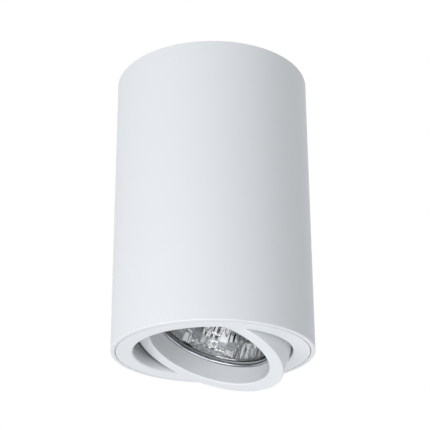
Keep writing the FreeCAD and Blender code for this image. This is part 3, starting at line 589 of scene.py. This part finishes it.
def coiled(name, material, radius_mm, wire_mm, length, turns, flatness=1.0, count=1, reverse=False):
    """Wires wound in a helix along Z, from Z 0 up."""
    values = {"Radius": radius_mm * MM, "Length": length, "Turns": float(turns), "Wire": wire_mm * MM,
              "Flatness": flatness, "Count": count, "Reverse": reverse, "Material": material}
    return grown(name, bpy.data.meshes.new("empty"), coil_group(), values)


def marked(tree, curve, name, measure):
    """A curve whose points keep how far along it they are."""
    share = tree.add("GeometryNodeSplineParameter", output=measure)
    return tree.add("GeometryNodeStoreNamedAttribute", {"data_type": "FLOAT", "domain": "POINT"},
                    {"Geometry": curve, "Name": name, "Value": share})


def lead_group():
    """A round lead along a curve, which stores how far along and around it each point is."""
    inputs = {"Radius": "Float", "Sides": "Int", "Material": "Material"}
    group, tree, given = node_group("lead", inputs)
    route = marked(tree, given["Geometry"], "along", "Length")
    circle = tree.add("GeometryNodeCurvePrimitiveCircle",
                      inputs={"Resolution": given["Sides"], "Radius": given["Radius"]})
    section = marked(tree, circle, "around", "Factor")
    tube = tree.add("GeometryNodeCurveToMesh",
                    inputs={"Curve": route, "Profile Curve": section, "Fill Caps": True})
    end_group(tree, tube, given["Material"])
    return group


# A thread's sides and its rings in each turn, and how wide and how round its crest is
THREAD_SIDES = 32
THREAD_RINGS = 8
CREST_SHARE = 0.15
CREST_ROUND = 0.1


def thread_group():
    """A screw's shank along Z, whose radius follows the helix of its thread."""
    sizes = dict.fromkeys(("Radius", "Depth", "Pitch", "Length"), "Float")
    group, tree, given = node_group("thread", {**sizes, "Material": "Material"})
    shank = tree.add("GeometryNodeMeshCylinder", inputs={
        "Vertices": THREAD_SIDES, "Side Segments": given["Length"] / given["Pitch"] * THREAD_RINGS,
        "Radius": given["Radius"], "Depth": given["Length"]}, output="Mesh")
    x, y, z = tree.parts(tree.add("GeometryNodeInputPosition"))
    turn = tree.math("ARCTAN2", y, x) / math.tau
    flank = tree.math("PINGPONG", z / given["Pitch"] - turn, 0.5) * 2
    inside = 1 - tree.math("SMOOTH_MAX", flank, CREST_SHARE, CREST_ROUND)
    edge = z * z > (given["Length"] / 2 - given["Pitch"] / 3) ** 2
    share = 1 - given["Depth"] * tree.math("MAXIMUM", inside, edge) / given["Radius"]
    moved = tree.add("ShaderNodeCombineXYZ", inputs={"X": x * share, "Y": y * share, "Z": z})
    threaded = tree.add("GeometryNodeSetPosition", inputs={"Geometry": shank, "Position": moved})
    end_group(tree, threaded, given["Material"])
    return group


# --- sizes that a user would change ---
def a_colour(name, description, default):
    return FloatVectorProperty(name=name, description=description, subtype="COLOR", min=0, max=1,
                               default=default)


def a_length(name, description, default, **limits):
    return FloatProperty(name=name, description=description, subtype="DISTANCE", unit="LENGTH",
                         default=default, **limits)


def an_angle(name, description, default):
    return FloatProperty(name=name, description=description, subtype="ANGLE", unit="ROTATION",
                         default=default)


def a_number(name, description, default, low, high, **kind):
    return FloatProperty(name=name, description=description, min=low, max=high, default=default,
                         **kind)


def a_count(name, description, default, low, high):
    return IntProperty(name=name, description=description, min=low, max=high, default=default)


class SpotlightCoat(bpy.types.PropertyGroup):
    coat_colour: a_colour("Coat colour", "Colour of the powder coat", (0.80, 0.825, 0.85))
    coat_roughness: a_number("Coat roughness", "How matt the powder coat is", 0.42, 0, 1,
                             subtype="FACTOR")
    peel_size: a_number("Peel size", "Width of the orange peel, in millimetres", 1.3, 0.1, 10)
    peel_depth: a_number("Peel depth", "Depth of the orange peel, in millimetres", 0.006, 0, 0.1)
    # Where the grey painted shade darkens the deep gap behind the trim's face
    gap_shade_inner: a_length("Painted gap shade from", "Radius where the gap's painted shade starts", 0.0326)
    gap_shade_outer: a_length("Painted gap shade to", "Radius where the gap's painted shade ends", 0.0412)
    gap_shade_top: a_length("Painted gap shade top", "Height of the top of the gap's painted shade", -0.100)
    gap_shade_height: a_length("Painted gap shade height", "Height where the painted shade starts", -0.1238)


class SpotlightReflector(bpy.types.PropertyGroup):
    facet_count: a_count("Facets around", "Facets in each row", 36, 12, 90)
    facet_rows: a_count("Rows", "Rows from the cover glass to the neck", 5, 2, 12)
    facet_crown: a_number("Facet crown", "How far a facet's middle stands up, in millimetres",
                          0.025, 0, 1)
    mirror_colour: a_colour("Mirror colour", "Colour of the reflecting coat", (0.965, 0.975, 0.99))
    mirror_low: a_number("Darkest facet", "The darkest facet's share of the mirror colour", 0.72, 0, 1)


class SpotlightWiring(bpy.types.PropertyGroup):
    live_colour: a_colour("Live colour", "Colour of the live lead", (0.16, 0.055, 0.025))
    neutral_colour: a_colour("Neutral colour", "Colour of the neutral lead", (0.03, 0.12, 0.42))
    earth_green: a_colour("Earth green", "First colour of the earth lead", (0.04, 0.30, 0.06))
    earth_yellow: a_colour("Earth yellow", "Second colour of the earth lead", (0.80, 0.62, 0.03))
    lead_diameter: a_length("Lead diameter", "Diameter over the silicone", 0.002,
                            min=0.0005, max=0.004)
    filament_turns: a_count("Filament turns", "Turns of the filament's coil", 17, 4, 60)
    thread_pitch: a_length("Thread pitch", "Pitch of the side screws' thread", 0.0007,
                           min=0.0002, max=0.002)


class SpotlightStudio(bpy.types.PropertyGroup):
    key_power: a_number("Key light", "Power of the large soft light", 7.0, 0, 500, unit="POWER")
    fill_power: a_number("Low light", "Power of the soft light from below", 3.2, 0, 500, unit="POWER")
    room_level: a_number("Room light", "Strength of the even light all round", 0.54, 0, 2)
    camera_distance: a_length("Camera distance", "From the camera to the body's lower end", 0.5306,
                              min=0.2, max=3)
    camera_rise: an_angle("Camera rise", "How steeply the camera looks up at that end",
                          math.radians(17.85))
    camera_pitch: an_angle("Camera pitch", "The camera's own tilt above level", math.radians(24.07))
    camera_roll: an_angle("Camera roll", "The camera's turn about its line of sight", -0.0041)
    camera_lens: a_number("Focal length", "In millimetres, on a 36 mm sensor", 106.4, 20, 300)
    camera_shift: a_number("Sideways shift", "Sideways shift of the frame", 0.0062, -1, 1)


# --- operators ---
class SPOTLIGHT_OT_coat(bpy.types.Operator):
    """Coats the tube, the trim and the tilting ring"""
    bl_idname = "spotlight.coat"
    bl_label = "Powder coat"

    def execute(self, context):
        put_on("white_powder_coat", powder_coat(context.scene.spotlight_coat))
        return {"FINISHED"}


class SPOTLIGHT_OT_metals(bpy.types.Operator):
    """Finishes the bracket, springs, wire ring, screws, terminals, pins and filament"""
    bl_idname = "spotlight.metals"
    bl_label = "Metals"

    def execute(self, context):
        put_on("zinc_steel", zinc_plate())
        put_on_each(METALS, drawn_metal)
        return {"FINISHED"}


class SPOTLIGHT_OT_mouldings(bpy.types.Operator):
    """Finishes the rubber, plastic and ceramic pieces"""
    bl_idname = "spotlight.mouldings"
    bl_label = "Mouldings"

    def execute(self, context):
        put_on_each(MOULDINGS, moulded)
        return {"FINISHED"}


class SPOTLIGHT_OT_glass(bpy.types.Operator):
    """Finishes the cover glass and the quartz capsule"""
    bl_idname = "spotlight.glass"
    bl_label = "Glass"

    def execute(self, context):
        put_on_each(GLASSES, clear_glass)
        return {"FINISHED"}


class SPOTLIGHT_OT_reflector(bpy.types.Operator):
    """Builds the lamp's reflector from one gore, repeated round its axis"""
    bl_idname = "spotlight.reflector"
    bl_label = "Reflector"

    def execute(self, context):
        props = context.scene.spotlight_reflector
        mirror = mirror_facets(props)
        back = pressed_glass()
        put_on("reflector_glass", back)
        values = {"Count": props.facet_count, "Weld": SEAM_WELD_MM * MM, "Material": mirror}
        mesh = grown("lamp_reflector_glass", reflector_gore(props), round_pattern_group(), values)
        mesh.transform(LAMP)
        mesh.materials.append(back)
        inside = mesh.attributes["inside"].data
        for face in mesh.polygons:
            face.material_index = 0 if inside[face.index].value else 1
        smoothed(mesh, FACET_EDGE_DEG)
        object_from("lamp_reflector_glass", mesh, "lamp_ring", "reflector_glass", "lamp_reflector")
        return {"FINISHED"}


# The reflector's section, in the lamp ring's own frame
GLASS_FRONT_MM = 4.25
GLASS_SEAT_MM = 5.55
RIM_BACK_MM = 7.45
BOWL_BACK_MM = 35.85
BOWL_FRONT_R_MM = 23.3
BOWL_RISE_MM = 28.7
BOWL_RISE_POWER = 1.35
THROAT_R_MM = 6.0
NECK_R_MM = 10.5
SHOULDER_R_MM = 23.2
RIM_R_MM = 25.35
SEAT_R_MM = 24.35
RIM_ROUND_MM = 0.5
RIM_ROUND_SHARE = 0.3
FACET_STEPS = 4
FACET_EDGE_DEG = 24
SEAM_WELD_MM = 0.002
BOWL_NARROWING_POWER = 0.8

# The arc of the bowl's outside: its steps, and the shares of width and height of its middle point
BOWL_ARC_STEPS = 10
BOWL_ARC_OUT = 0.74
BOWL_ARC_UP = 0.62


def bowl_inside(share):
    """Radius and height of the bowl's inside, from the cover glass, share 0, to the throat, 1."""
    angle = share * math.pi / 2
    narrowing = max(0.0, math.cos(angle)) ** BOWL_NARROWING_POWER
    radius = THROAT_R_MM + (BOWL_FRONT_R_MM - THROAT_R_MM) * narrowing
    return radius, GLASS_SEAT_MM + BOWL_RISE_MM * math.sin(angle) ** BOWL_RISE_POWER


def bowl_outside(count):
    """Points of the bowl's outside on an arc from its neck to its shoulder."""
    ends = [Vector((NECK_R_MM, BOWL_BACK_MM)), Vector((SHOULDER_R_MM, RIM_BACK_MM))]
    through = Vector((NECK_R_MM + BOWL_ARC_OUT * (SHOULDER_R_MM - NECK_R_MM),
                      RIM_BACK_MM + BOWL_ARC_UP * (BOWL_BACK_MM - RIM_BACK_MM)))
    centre = circle_centre(ends[0], through, ends[1])
    angles = [math.atan2(p.y - centre.y, p.x - centre.x) for p in ends]
    radius = (through - centre).length
    steps = [angles[0] + (angles[1] - angles[0]) * i / count for i in range(count + 1)]
    return [(centre.x + radius * math.cos(a), centre.y + radius * math.sin(a)) for a in steps]


def circle_centre(a, b, c):
    """The centre of the circle through three points."""
    d = 2 * (a.x * (b.y - c.y) + b.x * (c.y - a.y) + c.x * (a.y - b.y))
    aa, bb, cc = a.length_squared, b.length_squared, c.length_squared
    x = (aa * (b.y - c.y) + bb * (c.y - a.y) + cc * (a.y - b.y)) / d
    y = (aa * (c.x - b.x) + bb * (a.x - c.x) + cc * (b.x - a.x)) / d
    return Vector((x, y))


def reflector_gore(props):
    """One gore of the reflector: crowned facets inside, and the pressed bowl and rim outside."""
    half = math.pi / props.facet_count
    corners = [bowl_inside(row / props.facet_rows) for row in range(props.facet_rows + 1)]
    lines = []  # radius, height, how far the middle stands up, and whether it is on a facet
    for near, far in zip(corners, corners[1:]):
        slope = Vector((far[0] - near[0], far[1] - near[1]))
        inward = Vector((-slope.y, slope.x)).normalized()
        for step in range(FACET_STEPS):
            share = step / FACET_STEPS
            crown = props.facet_crown * near[0] / BOWL_FRONT_R_MM * (1 - (2 * share - 1) ** 2)
            lines.append((near[0] + slope.x * share, near[1] + slope.y * share, inward * crown, True))
    lines.append((*corners[-1], Vector((0, 0)), True))
    facet_lines = len(lines)
    edge, small = RIM_ROUND_MM, RIM_ROUND_MM * RIM_ROUND_SHARE
    outline = [(THROAT_R_MM, BOWL_BACK_MM), *bowl_outside(BOWL_ARC_STEPS), (RIM_R_MM, RIM_BACK_MM),
               (RIM_R_MM, GLASS_FRONT_MM + edge), (RIM_R_MM - small, GLASS_FRONT_MM + small),
               (RIM_R_MM - edge, GLASS_FRONT_MM), (SEAT_R_MM, GLASS_FRONT_MM),
               (SEAT_R_MM, GLASS_SEAT_MM)]
    lines += [(r, z, Vector((0, 0)), False) for r, z in outline]
    shape = bmesh.new()
    inside = shape.faces.layers.bool.new("inside")
    rows = []
    for radius, height, crown, flat in lines:
        row = []
        for step in range(FACET_STEPS + 1):
            side = 2 * step / FACET_STEPS - 1
            bulge = crown * (1 - side ** 2)
            r, z = radius + bulge.x, height + bulge.y
            if flat:
                x = r * math.cos(half)
                y = radius * math.sin(half) * side
            else:
                x, y = r * math.cos(half * side), r * math.sin(half * side)
            row.append(shape.verts.new((x * MM, y * MM, z * MM)))
        rows.append(row)
    for i, near in enumerate(rows):
        far = rows[(i + 1) % len(rows)]
        for a, b, c, d in zip(near, near[1:], far[1:], far):
            face = shape.faces.new((a, d, c, b))
            face[inside] = i < facet_lines - 1
    return mesh_of("gore", shape)


# The filament: its coil's axis above the CAD filament's low end, its end inside that one's side,
# its coil's and wire's radius, and its legs' radius and bends from the coil's end
COIL_LIFT_MM = 0.7
COIL_END_MM = 0.35
COIL_R_MM = 0.52
COIL_WIRE_MM = 0.09
LEG_R_MM = 0.11
LEG_SIDES = 8
LEG_BENDS_MM = ((0, 0, 1.6), (0, 0.3, 0.5), (-0.2, 0.4, 0))


class SPOTLIGHT_OT_filament(bpy.types.Operator):
    """Winds the lamp's filament and sets it on its two legs"""
    bl_idname = "spotlight.filament"
    bl_label = "Filament"

    def execute(self, context):
        metal = FINISHED["tungsten"]
        low, high = lamp_box("lamp_filament")
        across, height = (low.x + high.x) / 2, low.z + COIL_LIFT_MM * MM
        half = high.x - COIL_END_MM * MM
        coil = coiled("filament_coil", metal, COIL_R_MM, COIL_WIRE_MM, 2 * half,
                      context.scene.spotlight_wiring.filament_turns)
        coil.transform(Matrix.Translation((across, 0, height)) @ Matrix.Rotation(math.pi / 2, 4, "Y")
                       @ Matrix.Translation((0, 0, -half)))
        legs = []
        for side in (-1, 1):
            end = across + side * half
            bends = [(end + side * x * MM, side * y * MM, height + z * MM) for x, y, z in LEG_BENDS_MM]
            legs.append(lead_mesh("leg", [(end, 0, high.z), *bends], LEG_R_MM * MM, metal, LEG_SIDES))
        whole = joined_mesh("filament_coil", [coil, *legs])
        whole.transform(LAMP)
        object_from("filament_coil", smoothed(whole), "lamp_ring", "tungsten", "lamp_filament")
        return {"FINISHED"}


def lamp_box(name):
    """Lowest and highest corner of a CAD node in the lamp ring's own frame."""
    back = LAMP.inverted()
    points = [back @ vertex.co for vertex in NODES[name].data.vertices]
    low = Vector(min(p[i] for p in points) for i in range(3))
    high = Vector(max(p[i] for p in points) for i in range(3))
    return low, high


# A lead's sides, and its steps from one of its points to the next
LEAD_SIDES = 20
LEAD_STEPS = 10


def lead_mesh(name, points, radius, material, sides=LEAD_SIDES):
    """A round lead on the smooth line that its points shape."""
    curve = bpy.data.curves.new(name, "CURVE")
    curve.dimensions = "3D"
    spline = curve.splines.new("NURBS")
    spline.points.add(len(points) - 1)
    for knot, point in zip(spline.points, points):
        knot.co = (*point, 1.0)
    spline.order_u = 3
    spline.use_endpoint_u = True
    spline.resolution_u = LEAD_STEPS
    values = {"Radius": radius, "Sides": sides, "Material": material}
    return grown(name, curve, lead_group(), values)


class SPOTLIGHT_OT_leads(bpy.types.Operator):
    """Lays the live, neutral and earth leads"""
    bl_idname = "spotlight.leads"
    bl_label = "Leads"

    def execute(self, context):
        props = context.scene.spotlight_wiring
        radius = props.lead_diameter / 2
        put_on_each({"brown_silicone": [props.live_colour], "blue_silicone": [props.neutral_colour],
                     "earth_silicone": [props.earth_green, props.earth_yellow]}, silicone)
        split_lead("live_lead", lamp_route(-1, LIVE_BENDS_MM), radius, "brown_silicone")
        split_lead("neutral_lead", lamp_route(1, NEUTRAL_BENDS_MM), radius, "blue_silicone")
        route = in_metres(EARTH_BENDS_MM)
        lead = lead_mesh("earth", route, radius, FINISHED["earth_silicone"])
        earth = joined_mesh("earth_lead_striped", [lead, bare_end(route[-1])])
        object_from("earth_lead_striped", smoothed(earth), "housing", "earth_silicone", "earth_lead")
        return {"FINISHED"}


# The height of the trim's turn, where the live and neutral leads are cut in two
SWIVEL_LOW_MM = -29.0

# The lamp's two leads: how far each is from the lamp's axis, and its heights in the lampholder
LEAD_X_MM = 2.5
LEAD_HEIGHTS_MM = (62.5, 70.8, 79.0)

# The live lead goes into the first pole, the neutral into the last, and the earth lead from its
# eyelet, round a half turn and into the middle pole
LIVE_BENDS_MM = ((19.0, -2.0, -32.8), (8.0, -10.0, -23.8), (-4.0, -9.5, -15.9), (-9.2, 0.5, -8.75),
                 (-9.2, 13.9, -8.75))
NEUTRAL_BENDS_MM = ((16.0, 6.0, -31.0), (13.0, -4.0, -19.5), (9.2, 0.5, -8.75), (9.2, 13.9, -8.75))
EARTH_BENDS_MM = ((15, -12, -3.15), (15, -24.3, -3.15), (7.5, -28.7, -5.95), (0, -24.3, -8.75),
                  (-1.2, -13, -9.35), (0, 0, -8.75), (0, 13.9, -8.75))

# The stranded copper in a terminal
STRAND_PITCH_R_MM = 0.34
STRAND_R_MM = 0.26
STRANDS = 6
STRAND_TURNS = 2
BARE_LENGTH_MM = 12.0


def in_metres(points):
    return [Vector(point) * MM for point in points]


def lamp_route(side, bends):
    """From inside the lampholder, up through the space behind the lamp, into a pole."""
    heights = in_metres((side * LEAD_X_MM, 0, height) for height in LEAD_HEIGHTS_MM)
    return [LAMP @ point for point in heights] + in_metres(bends)


def bare_end(inside):
    """The stranded copper that the pole's screws clamp."""
    strands = coiled("strands", FINISHED["bronze_contact"], STRAND_PITCH_R_MM, STRAND_R_MM,
                     BARE_LENGTH_MM * MM, STRAND_TURNS, count=STRANDS)
    strands.transform(Matrix.Translation(inside) @ Matrix.Rotation(-math.pi / 2, 4, "X"))
    return strands


def split_lead(name, route, radius, slot):
    """A lead in two stretches that meet end to end at the trim's turn, so each crosses one joint."""
    material = FINISHED[slot]
    whole = lead_mesh(name, route, radius, material)
    cut = SWIVEL_LOW_MM * MM
    for suffix, keep_above in (("upper", True), ("lower", False)):
        shape = bmesh.new()
        shape.from_mesh(whole)
        everything = shape.verts[:] + shape.edges[:] + shape.faces[:]
        bmesh.ops.bisect_plane(shape, geom=everything, plane_co=(0, 0, cut), plane_no=(0, 0, 1),
                               clear_inner=keep_above, clear_outer=not keep_above)
        open_edges = [edge for edge in shape.edges if edge.is_boundary]
        bmesh.ops.holes_fill(shape, edges=open_edges)
        bmesh.ops.recalc_face_normals(shape, faces=shape.faces[:])
        mesh = mesh_of(f"{name}_{suffix}", shape, material)
        if keep_above:
            mesh = joined_mesh(mesh.name, [mesh, bare_end(route[-1])])
        piece = object_from(f"{name}_{suffix}", smoothed(mesh), None, slot, name)
        if keep_above:
            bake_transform(piece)
        else:
            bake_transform(piece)


# The braid: how far it starts above the sleeve's low end, its radius, and its yarns' own
BRAID_START_MM = 2.2
BRAID_R_MM = 1.44
BRAID_TURNS = 1.1
YARNS = 10
YARN_R_MM = 0.2
YARN_FLATNESS = 0.45
BRAID_EDGE_DEG = 60


class SPOTLIGHT_OT_sleeves(bpy.types.Operator):
    """Braids the glass fibre sleeves of the two leads"""
    bl_idname = "spotlight.sleeves"
    bl_label = "Sleeves"

    def execute(self, context):
        fibre = braid_fibre()
        put_on("glass_fibre", fibre)
        low, high = lamp_box("lead_sleeves")
        height = high.z - low.z - BRAID_START_MM * MM
        sleeve = joined_mesh("sleeve", [
            coiled("strand", fibre, BRAID_R_MM, YARN_R_MM, height, BRAID_TURNS, YARN_FLATNESS,
                   YARNS, way) for way in (False, True)])
        sleeves = []
        for side in (-1, 1):
            copy = sleeve.copy()
            copy.transform(Matrix.Translation((side * LEAD_X_MM * MM, 0, high.z - height)))
            sleeves.append(copy)
        braid = joined_mesh("sleeve_braid", sleeves)
        braid.transform(LAMP)
        object_from("sleeve_braid", smoothed(braid, BRAID_EDGE_DEG), "lamp_ring", "glass_fibre")
        return {"FINISHED"}


# A side screw: its radius and length, the plain end with its socket, and its thread's depth
SCREW_R_MM = 2.0
SCREW_LENGTH_MM = 7.0
SCREW_END_MM = 2.0
SCREW_CHAMFER_MM = 0.3
THREAD_DEPTH_MM = 0.38
SOCKET_MM = 2.0
SOCKET_DEPTH_SHARE = 0.9
SOCKET_STEPS = 36


class SPOTLIGHT_OT_screws(bpy.types.Operator):
    """Cuts the threads and sockets of the side screws"""
    bl_idname = "spotlight.screws"
    bl_label = "Screws"

    def execute(self, context):
        metal = FINISHED["screw_steel"]
        low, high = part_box("side_screws")
        threaded = (SCREW_LENGTH_MM - SCREW_END_MM) * MM
        values = {"Radius": SCREW_R_MM * MM, "Depth": THREAD_DEPTH_MM * MM, "Length": threaded,
                  "Pitch": context.scene.spotlight_wiring.thread_pitch, "Material": metal}
        shank = grown("shank", bpy.data.meshes.new("empty"), thread_group(), values)
        shank.transform(Matrix.Translation((0, 0, threaded / 2 - SCREW_LENGTH_MM * MM)))
        one = joined_mesh("screw", [shank, socket_mesh(metal)])
        both = []
        for side in (1, -1):
            copy = one.copy()
            copy.transform(Matrix.Translation((side * high.x, 0, (low.z + high.z) / 2))
                           @ Matrix.Rotation(side * math.pi / 2, 4, "Y"))
            both.append(copy)
        mesh = smoothed(joined_mesh("side_grub_screws", both))
        object_from("side_grub_screws", mesh, "housing", "screw_steel", "side_screws")
        return {"FINISHED"}


def socket_mesh(material):
    """The end of a screw, from Z 0 down, with a six-sided recess and a small chamfer."""
    shape = bmesh.new()
    angles = [math.tau * i / SOCKET_STEPS for i in range(SOCKET_STEPS)]

    def row(height_mm, reaches_mm):
        return [shape.verts.new((r * MM * math.cos(a), r * MM * math.sin(a), height_mm * MM))
                for a, r in zip(angles, reaches_mm)]

    def ring(radius_mm, height_mm):
        return row(height_mm, [radius_mm] * SOCKET_STEPS)

    def hexagon(height_mm):
        sixth = math.pi / 3
        return row(height_mm, [SOCKET_MM / 2 / math.cos((a + sixth / 2) % sixth - sixth / 2)
                               for a in angles])

    rows = [ring(SCREW_R_MM, -SCREW_END_MM), ring(SCREW_R_MM, -SCREW_CHAMFER_MM),
            ring(SCREW_R_MM - SCREW_CHAMFER_MM, 0), hexagon(0),
            hexagon(-SOCKET_DEPTH_SHARE * SCREW_END_MM)]
    for near, far in zip(rows, rows[1:]):
        for i in range(SOCKET_STEPS):
            j = (i + 1) % SOCKET_STEPS
            shape.faces.new((near[i], near[j], far[j], far[i]))
    shape.faces.new(reversed(rows[0]))
    shape.faces.new(rows[-1])
    return mesh_of("socket_end", shape, material)


# --- stage ---
TARGET = Vector((0, 0, -70 * MM))
KEY_PLACE = Vector((-0.62, -0.88, -0.50))
KEY_SIZE_M = 0.8
LOW_PLACE = Vector((-0.10, -0.25, -1.10))
LOW_SIZE_M = 0.6
FLOOR_MM = -1300.0
FLOOR_HALF_M = 6.0
FLOOR_LIFT = 0.75
BODY_END_MM = -125.0
SENSOR_MM = 36.0

# Dark flags round the object: start and width in degrees, turned from the front to the right, their
# rings in degrees from straight down, and how far away they are
FLAGS = ((30, 24), (104, 24), (190, 30), (262, 20))
FLAG_RINGS = (24, 42, 60, 78)
FLAG_REACH_M = 1.25


class SPOTLIGHT_OT_studio(bpy.types.Operator):
    """Sets the stage: the floor, the lights, the room's even light and the camera"""
    bl_idname = "spotlight.studio"
    bl_label = "Studio"

    def execute(self, context):
        props = context.scene.spotlight_studio
        context.scene.view_settings.view_transform = "Standard"
        floor()
        room(props.room_level)
        soft_light("key_light", KEY_PLACE, KEY_SIZE_M, props.key_power)
        soft_light("low_light", LOW_PLACE, LOW_SIZE_M, props.fill_power)
        dark_flags()
        camera(props)
        return {"FINISHED"}


def floor():
    """A wide pale floor below the lowest view, which keeps the object's shadow."""
    shape = bmesh.new()
    bmesh.ops.create_grid(shape, x_segments=1, y_segments=1, size=FLOOR_HALF_M)
    material, tree = finish("pale_floor")
    matt = tree.add("ShaderNodeBsdfDiffuse", inputs={"Color": (0.82, 0.82, 0.82, 1)})
    lit = tree.add("ShaderNodeEmission", inputs={"Color": (1, 1, 1, 1), "Strength": FLOOR_LIFT})
    unlit = tree.add("ShaderNodeEmission", inputs={"Strength": 0.0})
    glow = tree.add("ShaderNodeMixShader", inputs={0: seen_directly(tree), 1: unlit, 2: lit})
    both = tree.add("ShaderNodeAddShader", inputs={0: matt, 1: glow})
    tree.end(both)
    mesh = mesh_of("floor", shape, material)
    mesh.transform(Matrix.Translation((0, 0, FLOOR_MM * MM)))
    in_scene("floor", mesh)


def seen_directly(tree):
    """1 for what the camera sees, also by reflection or through glass."""
    rays = tree.add("ShaderNodeLightPath", output="Is Camera Ray")
    shown = rays + rays.output("Is Glossy Ray") + rays.output("Is Transmission Ray")
    return tree.math("MINIMUM", shown, 1.0)


def room(level):
    """A white background, and an even light of its own level all round."""
    world = bpy.data.worlds.new("room")
    bpy.context.scene.world = world
    world.use_nodes = True
    world.node_tree.nodes.clear()
    tree = Tree(world.node_tree)
    even, white = (tree.add("ShaderNodeBackground", inputs={"Color": colour, "Strength": strength})
                   for colour, strength in (((0.97, 0.985, 1, 1), level), ((1, 1, 1, 1), 1.0)))
    mixed = tree.add("ShaderNodeMixShader", inputs={0: seen_directly(tree), 1: even, 2: white})
    tree.add("ShaderNodeOutputWorld", inputs={"Surface": mixed})


def soft_light(name, place, size, power):
    """A square soft light that faces the object."""
    light = bpy.data.lights.new(name, "AREA")
    light.shape = "SQUARE"
    light.size = size
    light.energy = power
    lamp = in_scene(name, light)
    lamp.location = place
    lamp.rotation_euler = (TARGET - place).to_track_quat("-Z", "Y").to_euler()
    lamp.visible_camera = False


def dark_flags():
    """Dark flags below and round the object, which only bright metal and glass show."""
    shape = bmesh.new()
    for start, width in FLAGS:
        turns = [math.radians(turn) for turn in (start, start + width / 2, start + width)]
        rows = []
        for ring in map(math.radians, FLAG_RINGS):
            ways = [Vector((math.sin(ring) * math.sin(turn), -math.sin(ring) * math.cos(turn),
                            -math.cos(ring))) for turn in turns]
            rows.append([shape.verts.new(TARGET + FLAG_REACH_M * way) for way in ways])
        for near, far in zip(rows, rows[1:]):
            for corners in zip(near, near[1:], far[1:], far):
                shape.faces.new(corners)
    material, tree = finish("dark_flags")
    tree.end(tree.add("ShaderNodeBsdfDiffuse", inputs={"Color": (0.03, 0.03, 0.032, 1)}))
    flags = in_scene("dark_flags", mesh_of("dark_flags", shape, material))
    flags.visible_camera = False
    flags.visible_diffuse = False
    flags.visible_shadow = False


def camera(props):
    """Below the object and in front of it, looking up at the body's lower end."""
    lens = bpy.data.cameras.new("camera")
    lens.lens = props.camera_lens
    lens.sensor_width = SENSOR_MM
    lens.shift_x = props.camera_shift
    eye = in_scene("camera", lens)
    away, rise = props.camera_distance, props.camera_rise
    eye.location = (0, -away * math.cos(rise), BODY_END_MM * MM - away * math.sin(rise))
    eye.rotation_euler = (Matrix.Rotation(math.pi / 2 + props.camera_pitch, 3, "X")
                          @ Matrix.Rotation(props.camera_roll, 3, "Z")).to_euler()
    bpy.context.scene.camera = eye


STEPS = (SPOTLIGHT_OT_coat, SPOTLIGHT_OT_metals, SPOTLIGHT_OT_mouldings, SPOTLIGHT_OT_glass,
         SPOTLIGHT_OT_reflector, SPOTLIGHT_OT_filament, SPOTLIGHT_OT_leads, SPOTLIGHT_OT_sleeves,
         SPOTLIGHT_OT_screws, SPOTLIGHT_OT_studio)
GROUPS = {"spotlight_coat": SpotlightCoat, "spotlight_reflector": SpotlightReflector,
          "spotlight_wiring": SpotlightWiring, "spotlight_studio": SpotlightStudio}


class SPOTLIGHT_PT_panel(bpy.types.Panel):
    """Lists the sizes and the steps"""
    bl_idname = "SPOTLIGHT_PT_panel"
    bl_label = "Ceiling spotlight"
    bl_space_type = "VIEW_3D"
    bl_region_type = "UI"
    bl_category = "Spotlight"

    def draw(self, context):
        for name, group in GROUPS.items():
            box = self.layout.box()
            for prop in group.__annotations__:
                box.prop(getattr(context.scene, name), prop)
        for step in STEPS:
            self.layout.operator(step.bl_idname)


def register():
    for group in (*GROUPS.values(), *STEPS, SPOTLIGHT_PT_panel):
        bpy.utils.register_class(group)
    for name, group in GROUPS.items():
        setattr(bpy.types.Scene, name, PointerProperty(type=group))


def unregister():
    for name in GROUPS:
        delattr(bpy.types.Scene, name)
    for group in reversed((*GROUPS.values(), *STEPS, SPOTLIGHT_PT_panel)):
        bpy.utils.unregister_class(group)


def main():
    register()
    for step in STEPS:
        space, name = step.bl_idname.split(".")
        getattr(getattr(bpy.ops, space), name)()


if __name__ == "__main__":
    main()
